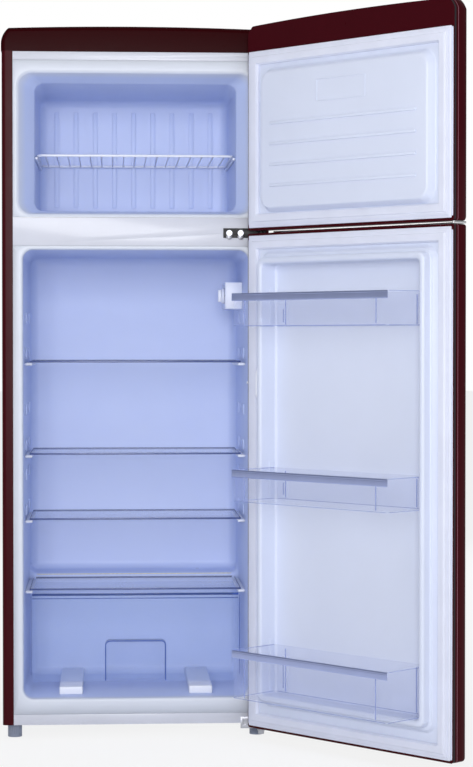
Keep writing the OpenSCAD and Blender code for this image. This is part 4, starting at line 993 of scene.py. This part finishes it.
class FRIDGE_OT_bins(Operator):
    """Clear door bins with their ribs, and the metal rails along their fronts"""
    bl_idname = "refrigerator.bins"
    bl_label = "Door bins"

    def execute(self, context):
        s = settings(context)
        for place in ("top", "middle", "bottom"):
            body = "door_bin_" + place
            low, high = closed_span(body)
            piece(body + "_shell", [bin_shell(low, high, s)], body, "bin_plastic", [body],
                  door=True)
            lines = []
            e = 1.1
            for x in (low[0], high[0] - e):
                lines.append(brick([x, low[1] + 4, high[2] - e], [x + e, high[1] - 4, high[2]],
                                   0.3))
                lines.append(brick([x, low[1] + 4, low[2]], [x + e, high[1] - 4, low[2] + e], 0.3))
            for y in (low[1], high[1] - e):
                lines.append(brick([low[0] + 5, y, low[2]], [high[0] - 5, y + e, low[2] + e], 0.3))
            for x in (low[0] + 31, high[0] - 32):
                lines.append(brick([x, high[1] - 4.5, low[2] + 3], [x + e, high[1] - 2, high[2] - 1], 0.3))
                lines.append(brick([x, low[1] + 2, low[2] + 3], [x + e, low[1] + 4, high[2] - 6],
                                   0.3))
            piece(body + "_edges", lines, body, "bin_plastic", look="bin edge", door=True)
            low, high = closed_span("bin_rail_" + place)
            y0 = high[1]
            path = eased_path([[low[2], y0 - 0.9], [low[2] + 1.5, y0], [high[2] - 5, y0 - 0.1],
                               [high[2] - 4, y0 - 0.5], [high[2] - 3, y0], [high[2], y0 - 0.6],
                               [high[2], low[1]], [low[2], low[1]]], [0.5, 0.3, 0.3, 0.3, 0.5, 0.2], 3)
            loops = np.stack([np.stack([np.full(len(path), x), path[:, 1], path[:, 0]], -1)
                              for x in (low[0], high[0])])
            piece("bin_strip_" + place, [sleeve(loops, "flat", "flat")], body, "grey_rail",
                  ["bin_rail_" + place], door=True)
        return {"FINISHED"}


# ---------- shelves and drawer ----------

class FRIDGE_OT_shelves(Operator):
    """Glass shelves with ground edges, and the wire freezer shelf"""
    bl_idname = "refrigerator.shelves"
    bl_label = "Shelves"

    def execute(self, context):
        for node in ("glass_shelf_top", "glass_shelf_middle", "glass_shelf_bottom",
                     "crisper_cover"):
            low, high = span(node)
            plate = brick(low, high, 1.0, 3)
            obj = piece(node + "_plate", [plate], node, "shelf_glass", [node])
            obj.data.materials.append(FINISHES["glass edge"])
            normals = np.empty(len(obj.data.polygons) * 3, np.float32)
            obj.data.polygons.foreach_get("normal", normals)
            edge = (np.abs(normals.reshape(-1, 3)[:, 2]) < 0.9).astype(np.int32)
            obj.data.polygons.foreach_set("material_index", edge)
        low, high = span("freezer_shelf")
        r = 1.6
        z = (low[2] + high[2]) / 2
        frame_r = 2.6
        x, y = rect_loops(low[0] + frame_r, high[0] - frame_r, low[1] + frame_r, high[1] - frame_r,
                          14)
        ring = np.stack([x[0], y[0], np.full(x.shape[1], z)], -1)
        turn = np.linspace(0, 2 * np.pi, 12, endpoint=False)
        step = np.roll(ring, -1, 0) - np.roll(ring, 1, 0)
        side = np.stack([step[:, 1], -step[:, 0], np.zeros(len(step))], -1)
        side /= np.linalg.norm(side, axis=1)[:, None]
        loops = ring[None] + frame_r * (np.cos(turn)[:, None, None] * side[None]
                                        + np.sin(turn)[:, None, None] * np.array([0, 0, 1]))
        parts = [sleeve(loops, wrap=True)]
        for at in np.linspace(low[0] + 18, high[0] - 18, 17):
            path = np.stack([np.full(3, at), np.linspace(low[1] + frame_r, high[1] - frame_r, 3),
                             np.full(3, z + 0.6)], -1)
            parts.append(rod(path, r))
        piece("freezer_shelf_grid", parts, "freezer_shelf", "white_plastic",
              ["freezer_shelf"])
        return {"FINISHED"}


def rod(path, r, steps=8):
    """Straight round rod through its path's ends: circles square to its direction."""
    path = np.asarray(path, float)
    ahead = path[-1] - path[0]
    ahead /= np.linalg.norm(ahead)
    side = np.cross(ahead, [0, 0, 1] if abs(ahead[2]) < 0.9 else [1, 0, 0])
    side /= np.linalg.norm(side)
    up = np.cross(side, ahead)
    turn = np.linspace(0, 2 * np.pi, steps, endpoint=False)
    ring = np.cos(turn)[:, None] * side + np.sin(turn)[:, None] * up
    return sleeve(path[:, None] + r * ring[None], "flat", "flat")


class FRIDGE_OT_drawer(Operator):
    """Clear drawer: a tub with rounded lower edges, and a hand recess in its front"""
    bl_idname = "refrigerator.drawer"
    bl_label = "Drawer"

    def execute(self, context):
        s = settings(context)
        low, high = span("crisper_drawer")
        w, r = s["drawer_wall"], s["drawer_corner"]
        grip_x, grip_z, grip_d = 63.5, low[2] + 86, 24
        # tub: a U outline carried from the front to the back
        outer = eased_path([[low[0], high[2]], [low[0], low[2]], [high[0], low[2]], [high[0], high[2]]], [r, r], 8)
        inner = eased_path([[high[0] - w, high[2]], [high[0] - w, low[2] + w], [low[0] + w, low[2] + w],
                            [low[0] + w, high[2]]], [r - w, r - w], 8)
        u = np.concatenate([outer, inner])
        parts = []
        loops = np.stack([upright(u[:, 0], y, u[:, 1]) for y in (low[1], high[1])])
        parts.append(sleeve(loops, "flat", "flat"))
        # back and front walls, in columns from the tub's floor, or from the recess, to the rim
        turn = np.linspace(np.pi / 2, 0, 9)
        left = low[0] + w + (r - w) * (1 - np.sin(turn))
        sag = (r - w) * (1 - np.cos(turn))
        span_x = np.concatenate([left, -left[::-1]])
        floor = np.concatenate([low[2] + w + sag, (low[2] + w + sag)[::-1]])
        parts.append(wall_slab(span_x, floor, high[2], high[1] - w, high[1]))
        corner = 10
        arc = np.linspace(np.pi / 2, 0, 7)
        cut_x = grip_x - corner + corner * np.sin(arc)
        cut_z = grip_z - corner + corner * np.cos(arc)
        x = np.concatenate([left, [-grip_x], -cut_x, cut_x[::-1], [grip_x], -left[::-1]])
        z = np.concatenate([low[2] + w + sag, [low[2] + w], cut_z, cut_z[::-1], [low[2] + w],
                            (low[2] + w + sag)[::-1]])
        parts.append(wall_slab(x, z, high[2], low[1], low[1] + w))
        piece("drawer_tub", parts, "crisper_drawer", "drawer_plastic",
              ["crisper_drawer"], smooth=30)
        # hand recess: an arch carried inwards, and its back wall
        arch = eased_path([[-grip_x, low[2] + w], [-grip_x, grip_z], [grip_x, grip_z], [grip_x, low[2] + w]],
                          [corner, corner], 8)
        arch_in = eased_path([[grip_x - w, low[2] + w], [grip_x - w, grip_z - w], [-grip_x + w, grip_z - w],
                              [-grip_x + w, low[2] + w]], [corner - w, corner - w], 8)
        a = np.concatenate([arch, arch_in])
        loops = np.stack([upright(a[:, 0], y, a[:, 1])
                          for y in (low[1] + 0.2, low[1] + grip_d)])
        parts = [sleeve(loops, "flat", "flat")]
        back = brick([-grip_x + w, low[1] + grip_d - w, low[2] + w], [grip_x - w, low[1] + grip_d, grip_z - w], 0.4)
        piece("drawer_grip", parts, "crisper_drawer", "drawer_plastic", look="drawer edge")
        piece("drawer_grip_back", [back], "crisper_drawer", "drawer_plastic")
        # rim: a level lip along the top of the four walls
        rim = []
        e = 1.2
        rim.append(brick([low[0] + 3, low[1], high[2] - 5], [high[0] - 3, low[1] + e, high[2]],
                         0.5))
        rim.append(brick([low[0] + 3, low[1] + w, high[2] - 12], [high[0] - 3, low[1] + w + e, high[2] - 10], 0.5))
        for x in (low[0], high[0] - e):
            rim.append(brick([x, low[1], low[2] + r], [x + e, low[1] + e, high[2] - 5], 0.5))
        piece("drawer_rim", rim, "crisper_drawer", "drawer_plastic", look="drawer edge")
        return {"FINISHED"}


def wall_slab(x, z_low, z_high, y0, y1):
    """Upright wall in columns: each goes from its own foot to one level, between two depths."""
    lower = [upright(x, y, z_low) for y in (y0, y1)]
    upper = [upright(x, y, z_high)[::-1] for y in (y0, y1)]
    return sleeve(np.array([np.concatenate([a, b]) for a, b in zip(lower, upper)]), "rungs",
                  "rungs")


# ---------- hardware ----------

class FRIDGE_OT_handles(Operator):
    """Bar handles: a round bar with domed ends on two flared posts"""
    bl_idname = "refrigerator.handles"
    bl_label = "Handles"

    def execute(self, context):
        for door in ("freezer_door", "fridge_door"):
            low, high = closed_span(door + "_handle")
            r = 6.0
            x = (low[0] + high[0]) / 2
            bar_y = low[1] + r
            t = np.linspace(0, np.pi / 2, 7)
            ends = np.concatenate([np.stack([r * np.sin(t), low[2] + r * (1 - np.cos(t))], -1),
                                   np.stack([r * np.cos(t), high[2] - r * (1 - np.sin(t))], -1)])
            ends[0, 0] = ends[-1, 0] = 0.05
            parts = [lathe(ends, [x, bar_y, 0], [0, 0, 1])]
            for z in (low[2] + 16, high[2] - 16):
                post = eased_path([[0.05, 0], [10.8, 0], [10.8, 1.6], [5.4, 6], [4.6, 16],
                                   [5.2, high[1] - bar_y - 2], [0.05, high[1] - bar_y - 2]], [0.4, 1.2, 4, 10, 1], 5)
                parts.append(lathe(post, [x, high[1], z], [0, -1, 0], 32))
            piece(door + "_grip", parts, door, "chrome", [door + "_handle"],
                  door=True, smooth=40)
        return {"FINISHED"}


def screw_head(centre, axis, radius, height, steps=64):
    """Domed head with a cross recess: height falls with the square of the radius, less a
    sunk cross where either turned coordinate is small."""
    axis = np.asarray(axis, float)
    side = np.cross(axis, [0, 0, 1])
    side /= np.linalg.norm(side)
    other = np.cross(axis, side)
    share = np.concatenate([[1, 1], np.linspace(1, 0.02, 14)])
    turn = np.linspace(0, 2 * np.pi, steps, endpoint=False)
    u = share[:, None] * np.cos(turn) * radius
    v = share[:, None] * np.sin(turn) * radius
    reach = np.hypot(u, v)
    slot = (np.minimum(np.abs(u), np.abs(v)) < 0.12 * radius) & (reach < 0.62 * radius)
    h = height * (1 - 0.75 * (reach / radius) ** 2) - 0.5 * height * slot
    h[0] = 0
    h[1] = 0.1 * height
    loops = np.asarray(centre, float) + u[..., None] * side + v[..., None] * other + h[..., None] * axis
    return sleeve(loops, "flat", "flat")


class FRIDGE_OT_hardware(Operator):
    """Hinges, screws, switch, striker, feet and the small fittings, with eased edges"""
    bl_idname = "refrigerator.hardware"
    bl_label = "Hardware"

    def execute(self, context):
        rows = (("top_hinge", "hinge_steel", 0.5), ("middle_hinge", "black_enamel", 0.5),
                ("bottom_hinge", "hinge_steel", 0.5), ("switch_striker", "white_plastic", 1.2),
                ("lamp_switch", "white_plastic", 0.5), ("thermostat_housing", "white_plastic", 0.8),
                ("front_left_foot", "foot_plastic", 0.5), ("front_right_foot", "foot_plastic", 0.5),
                ("start_relay", "black_plastic", 1.5), ("condenser_brackets", "black_plastic", 1.0),
                ("evaporation_tray", "grey_plastic", 0.6), ("cord_gland", "grommet_rubber", 0.8),
                ("freezer_door_trim", "chrome", 0.6), ("base_pan", "zinc_steel", 0.5))
        for node, slot, width in rows:
            eased_copy(node, node + "_eased", slot, width)
        front = span("front_rails")[0][1]
        mid_low = span("middle_hinge")[0]
        pivot = hinge()[0][0]
        z = mid_low[2] + 9.7
        heads = [screw_head([x, front - 2.2, z], [0, -1, 0], 6, 2.2) for x in (pivot - 63, pivot - 40)]
        piece("middle_hinge_heads", heads, "cabinet", "bright_screw")
        return {"FINISHED"}


class FRIDGE_OT_knob(Operator):
    """Thermostat knob with a fluted edge, a grip bar and plain numbers"""
    bl_idname = "refrigerator.knob"
    bl_label = "Thermostat knob"

    def execute(self, context):
        low, high = span("thermostat_knob")
        y, z = (low[1] + high[1]) / 2, (low[2] + high[2]) / 2
        r = (high[1] - low[1]) / 2
        turn = np.linspace(0, 2 * np.pi, 96, endpoint=False)
        rim = r - 0.35 + 0.35 * np.cos(24 * turn)
        shares = np.array([[0.05, 0], [0.97, 0], [1, 0.5], [1, 4.6], [0.94, 5.6], [0.8, 5.9],
                           [0.05, 6]])
        radius = shares[:, 0, None] * rim
        x = high[0] - shares[:, 1, None] + 0 * radius
        loops = np.stack([x, y + radius * np.cos(turn), z + radius * np.sin(turn)], -1)
        bar = brick([low[0], y - 3.3, z - 12.8], [high[0] - 5, y + 3.3, z + 12.8], 1.6, 4)
        piece("knob_disc", [sleeve(loops, "flat", "flat"), bar], "thermostat_knob",
              "white_plastic", ["thermostat_knob"])
        face = span("thermostat_housing")[0][0]
        for i in range(7):
            angle = math.radians(225 - 45 * i)
            curve = bpy.data.curves.new("digit", "FONT")
            curve.body = str(i + 1)
            curve.size = 5 * MM
            curve.align_x = "CENTER"
            curve.align_y = "CENTER"
            curve.extrude = 0.1 * MM
            holder = bpy.data.objects.new("digit_holder", curve)
            bpy.context.scene.collection.objects.link(holder)
            bpy.context.view_layer.update()
            mesh = bpy.data.meshes.new_from_object(holder.evaluated_get(bpy.context.evaluated_depsgraph_get()))
            bpy.data.objects.remove(holder)
            at = Vector((face - 0.1, y + 21.5 * math.cos(angle), z + 21.5 * math.sin(angle))) * MM
            # the text's own axes: along the wall to the reader's right, upwards, and out of the housing
            turn_to = Matrix(((0, 0, -1), (-1, 0, 0), (0, 1, 0))).to_4x4()
            mesh.transform(Matrix.Translation(at) @ turn_to)
            obj = bpy.data.objects.new(f"dial_number_{i + 1}", mesh)
            bpy.context.scene.collection.objects.link(obj)
            obj.data.materials.append(FINISHES["black_plastic"])
            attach(obj, "cabinet")
        return {"FINISHED"}


class FRIDGE_OT_compressor(Operator):
    """Compressor: a drawn can in two halves with a welded seam, on its foot plate"""
    bl_idname = "refrigerator.compressor"
    bl_label = "Compressor"

    def execute(self, context):
        low, high = span("compressor")
        x, y = 100.0, (low[1] + high[1]) / 2
        r = 60.0
        base, top = low[2] + 3, high[2]
        can = eased_path([[0.05, 0], [r - 4, 0], [r - 3, 62], [r, 62], [r, 68], [r - 3, 68],
                          [r - 5, top - base],
                          [0.05, top - base]], [10, 0.8, 0.8, 0.8, 0.8, 26], 8)
        parts = [lathe(can, [x, y, base], [0, 0, 1], 64)]
        parts.append(brick([low[0], y - 56, low[2]], [x + 86, y + 56, low[2] + 2.9], 1.2))
        stub = base + 79.2
        parts.append(rod([[x - r - 6, y, stub], [x - r + 8, y, stub]], 4, 16))
        piece("compressor_can", parts, "cabinet", "black_enamel", ["compressor"])
        return {"FINISHED"}


# ---------- stage ----------

class FRIDGE_OT_stage(Operator):
    """Pale floor, soft lights, white surroundings and the camera"""
    bl_idname = "refrigerator.stage"
    bl_label = "Stage"

    def execute(self, context):
        scene = context.scene
        f = Finish("floor")
        seen = f.node("ShaderNodeLightPath", {}, {}, "Is Camera Ray")
        gloss = f.node("ShaderNodeLightPath", {}, {}, "Is Glossy Ray")
        through = f.node("ShaderNodeLightPath", {}, {}, "Is Transmission Ray")
        shown = seen + gloss + through
        matt = f.node("ShaderNodeBsdfDiffuse", {}, {"Color": (0.86, 0.87, 0.9, 1)})
        glow = f.node("ShaderNodeEmission", {}, {"Color": (1, 1, 1, 1), "Strength": 1.0})
        f.node_output(f.node("ShaderNodeMixShader", {}, {0: shown * 0.82, 1: matt, 2: glow}))
        reach = 30.0
        mesh = bpy.data.meshes.new("floor")
        mesh.from_pydata([(-reach, -reach, -0.0005), (reach, -reach, -0.0005), (reach, reach, -0.0005),
                          (-reach, reach, -0.0005)], [], [(0, 1, 2, 3)])
        mesh.materials.append(f.material)
        floor = bpy.data.objects.new("floor", mesh)
        scene.collection.objects.link(floor)

        world = bpy.data.worlds.new("surroundings")
        scene.world = world
        world.use_nodes = True
        tree = world.node_tree
        back = tree.nodes["Background"]
        paths = tree.nodes.new("ShaderNodeLightPath")
        first = tree.nodes.new("ShaderNodeMath")
        first.operation = "MAXIMUM"
        tree.links.new(paths.outputs["Is Camera Ray"], first.inputs[0])
        tree.links.new(paths.outputs["Is Transmission Ray"], first.inputs[1])
        level = tree.nodes.new("ShaderNodeMapRange")
        tree.links.new(first.outputs[0], level.inputs[0])
        level.inputs[3].default_value = 0.35
        level.inputs[4].default_value = 1.0
        back.inputs["Color"].default_value = (1, 1, 1, 1)
        tree.links.new(level.outputs[0], back.inputs["Strength"])

        for name, at, aim, wide, tall, power, colour in (
                ("front", (-0.2, -4.7, 1.35), (0, 0, 0.8), 1.5, 1.5, 86, (1, 1, 1)),
                ("key", (-1.6, -3.4, 2.1), (0, 0, 0.8), 2.2, 2.2, 18, (1, 1, 1)),
                ("fill", (1.9, -3.8, 1.5), (0.1, 0, 0.7), 2.0, 2.6, 10, (0.96, 0.97, 1)),
                ("top", (0, -0.6, 3.2), (0, -0.3, 0.8), 2.4, 2.4, 10, (1, 1, 1)),
                ("back", (0.4, 3.4, 2.2), (0, 0, 0.8), 2.4, 2.4, 45, (1, 1, 1))):
            lamp = bpy.data.lights.new(name, "AREA")
            lamp.shape = "RECTANGLE"
            lamp.size, lamp.size_y, lamp.energy, lamp.color = wide, tall, power, colour
            obj = bpy.data.objects.new(name, lamp)
            obj.location = at
            obj.rotation_euler = (Vector(aim) - Vector(at)).to_track_quat("-Z", "Y").to_euler()
            scene.collection.objects.link(obj)

        camera = bpy.data.cameras.new("camera")
        camera.sensor_fit = "HORIZONTAL"
        camera.sensor_width = 36.0
        camera.lens = 164.6
        camera.clip_end = 100
        obj = bpy.data.objects.new("camera", camera)
        obj.location = (-0.055, -4.632, 0.805)
        obj.rotation_euler = (math.radians(90 - 1.13), 0, math.radians(-3.38))
        scene.collection.objects.link(obj)
        scene.camera = obj
        scene.view_settings.view_transform = "Standard"
        scene.cycles.transparent_max_bounces = 40  # the clear pieces stand many layers deep
        return {"FINISHED"}


OPERATORS = (FRIDGE_OT_stage, FRIDGE_OT_finishes, FRIDGE_OT_wrap, FRIDGE_OT_cap, FRIDGE_OT_rails,
             FRIDGE_OT_fresh_food, FRIDGE_OT_freezer, FRIDGE_OT_bosses, FRIDGE_OT_supports, FRIDGE_OT_door_skins,
             FRIDGE_OT_door_liners, FRIDGE_OT_gaskets, FRIDGE_OT_bins, FRIDGE_OT_shelves,
             FRIDGE_OT_drawer, FRIDGE_OT_handles, FRIDGE_OT_hardware, FRIDGE_OT_knob,
             FRIDGE_OT_compressor)


class FRIDGE_PT_pieces(Panel):
    """Lists the pieces of the refrigerator"""
    bl_idname = "FRIDGE_PT_pieces"
    bl_label = "Refrigerator"
    bl_space_type = "VIEW_3D"
    bl_region_type = "UI"
    bl_category = "Refrigerator"

    def draw(self, context):
        for group in (context.scene.refrigerator_colours, context.scene.refrigerator_sizes):
            for key in group.__annotations__:
                self.layout.prop(group, key)
        for operator in OPERATORS:
            self.layout.operator(operator.bl_idname)


CLASSES = (RefrigeratorColours, RefrigeratorSizes, *OPERATORS, FRIDGE_PT_pieces)


def register():
    for cls in CLASSES:
        bpy.utils.register_class(cls)
    bpy.types.Scene.refrigerator_colours = PointerProperty(type=RefrigeratorColours)
    bpy.types.Scene.refrigerator_sizes = PointerProperty(type=RefrigeratorSizes)


def unregister():
    del bpy.types.Scene.refrigerator_colours
    del bpy.types.Scene.refrigerator_sizes
    for cls in reversed(CLASSES):
        bpy.utils.unregister_class(cls)


def main():
    """Builds every piece in order."""
    register()
    for operator in OPERATORS:
        group, name = operator.bl_idname.split(".")
        getattr(getattr(bpy.ops, group), name)()


if __name__ == "__main__":
    main()
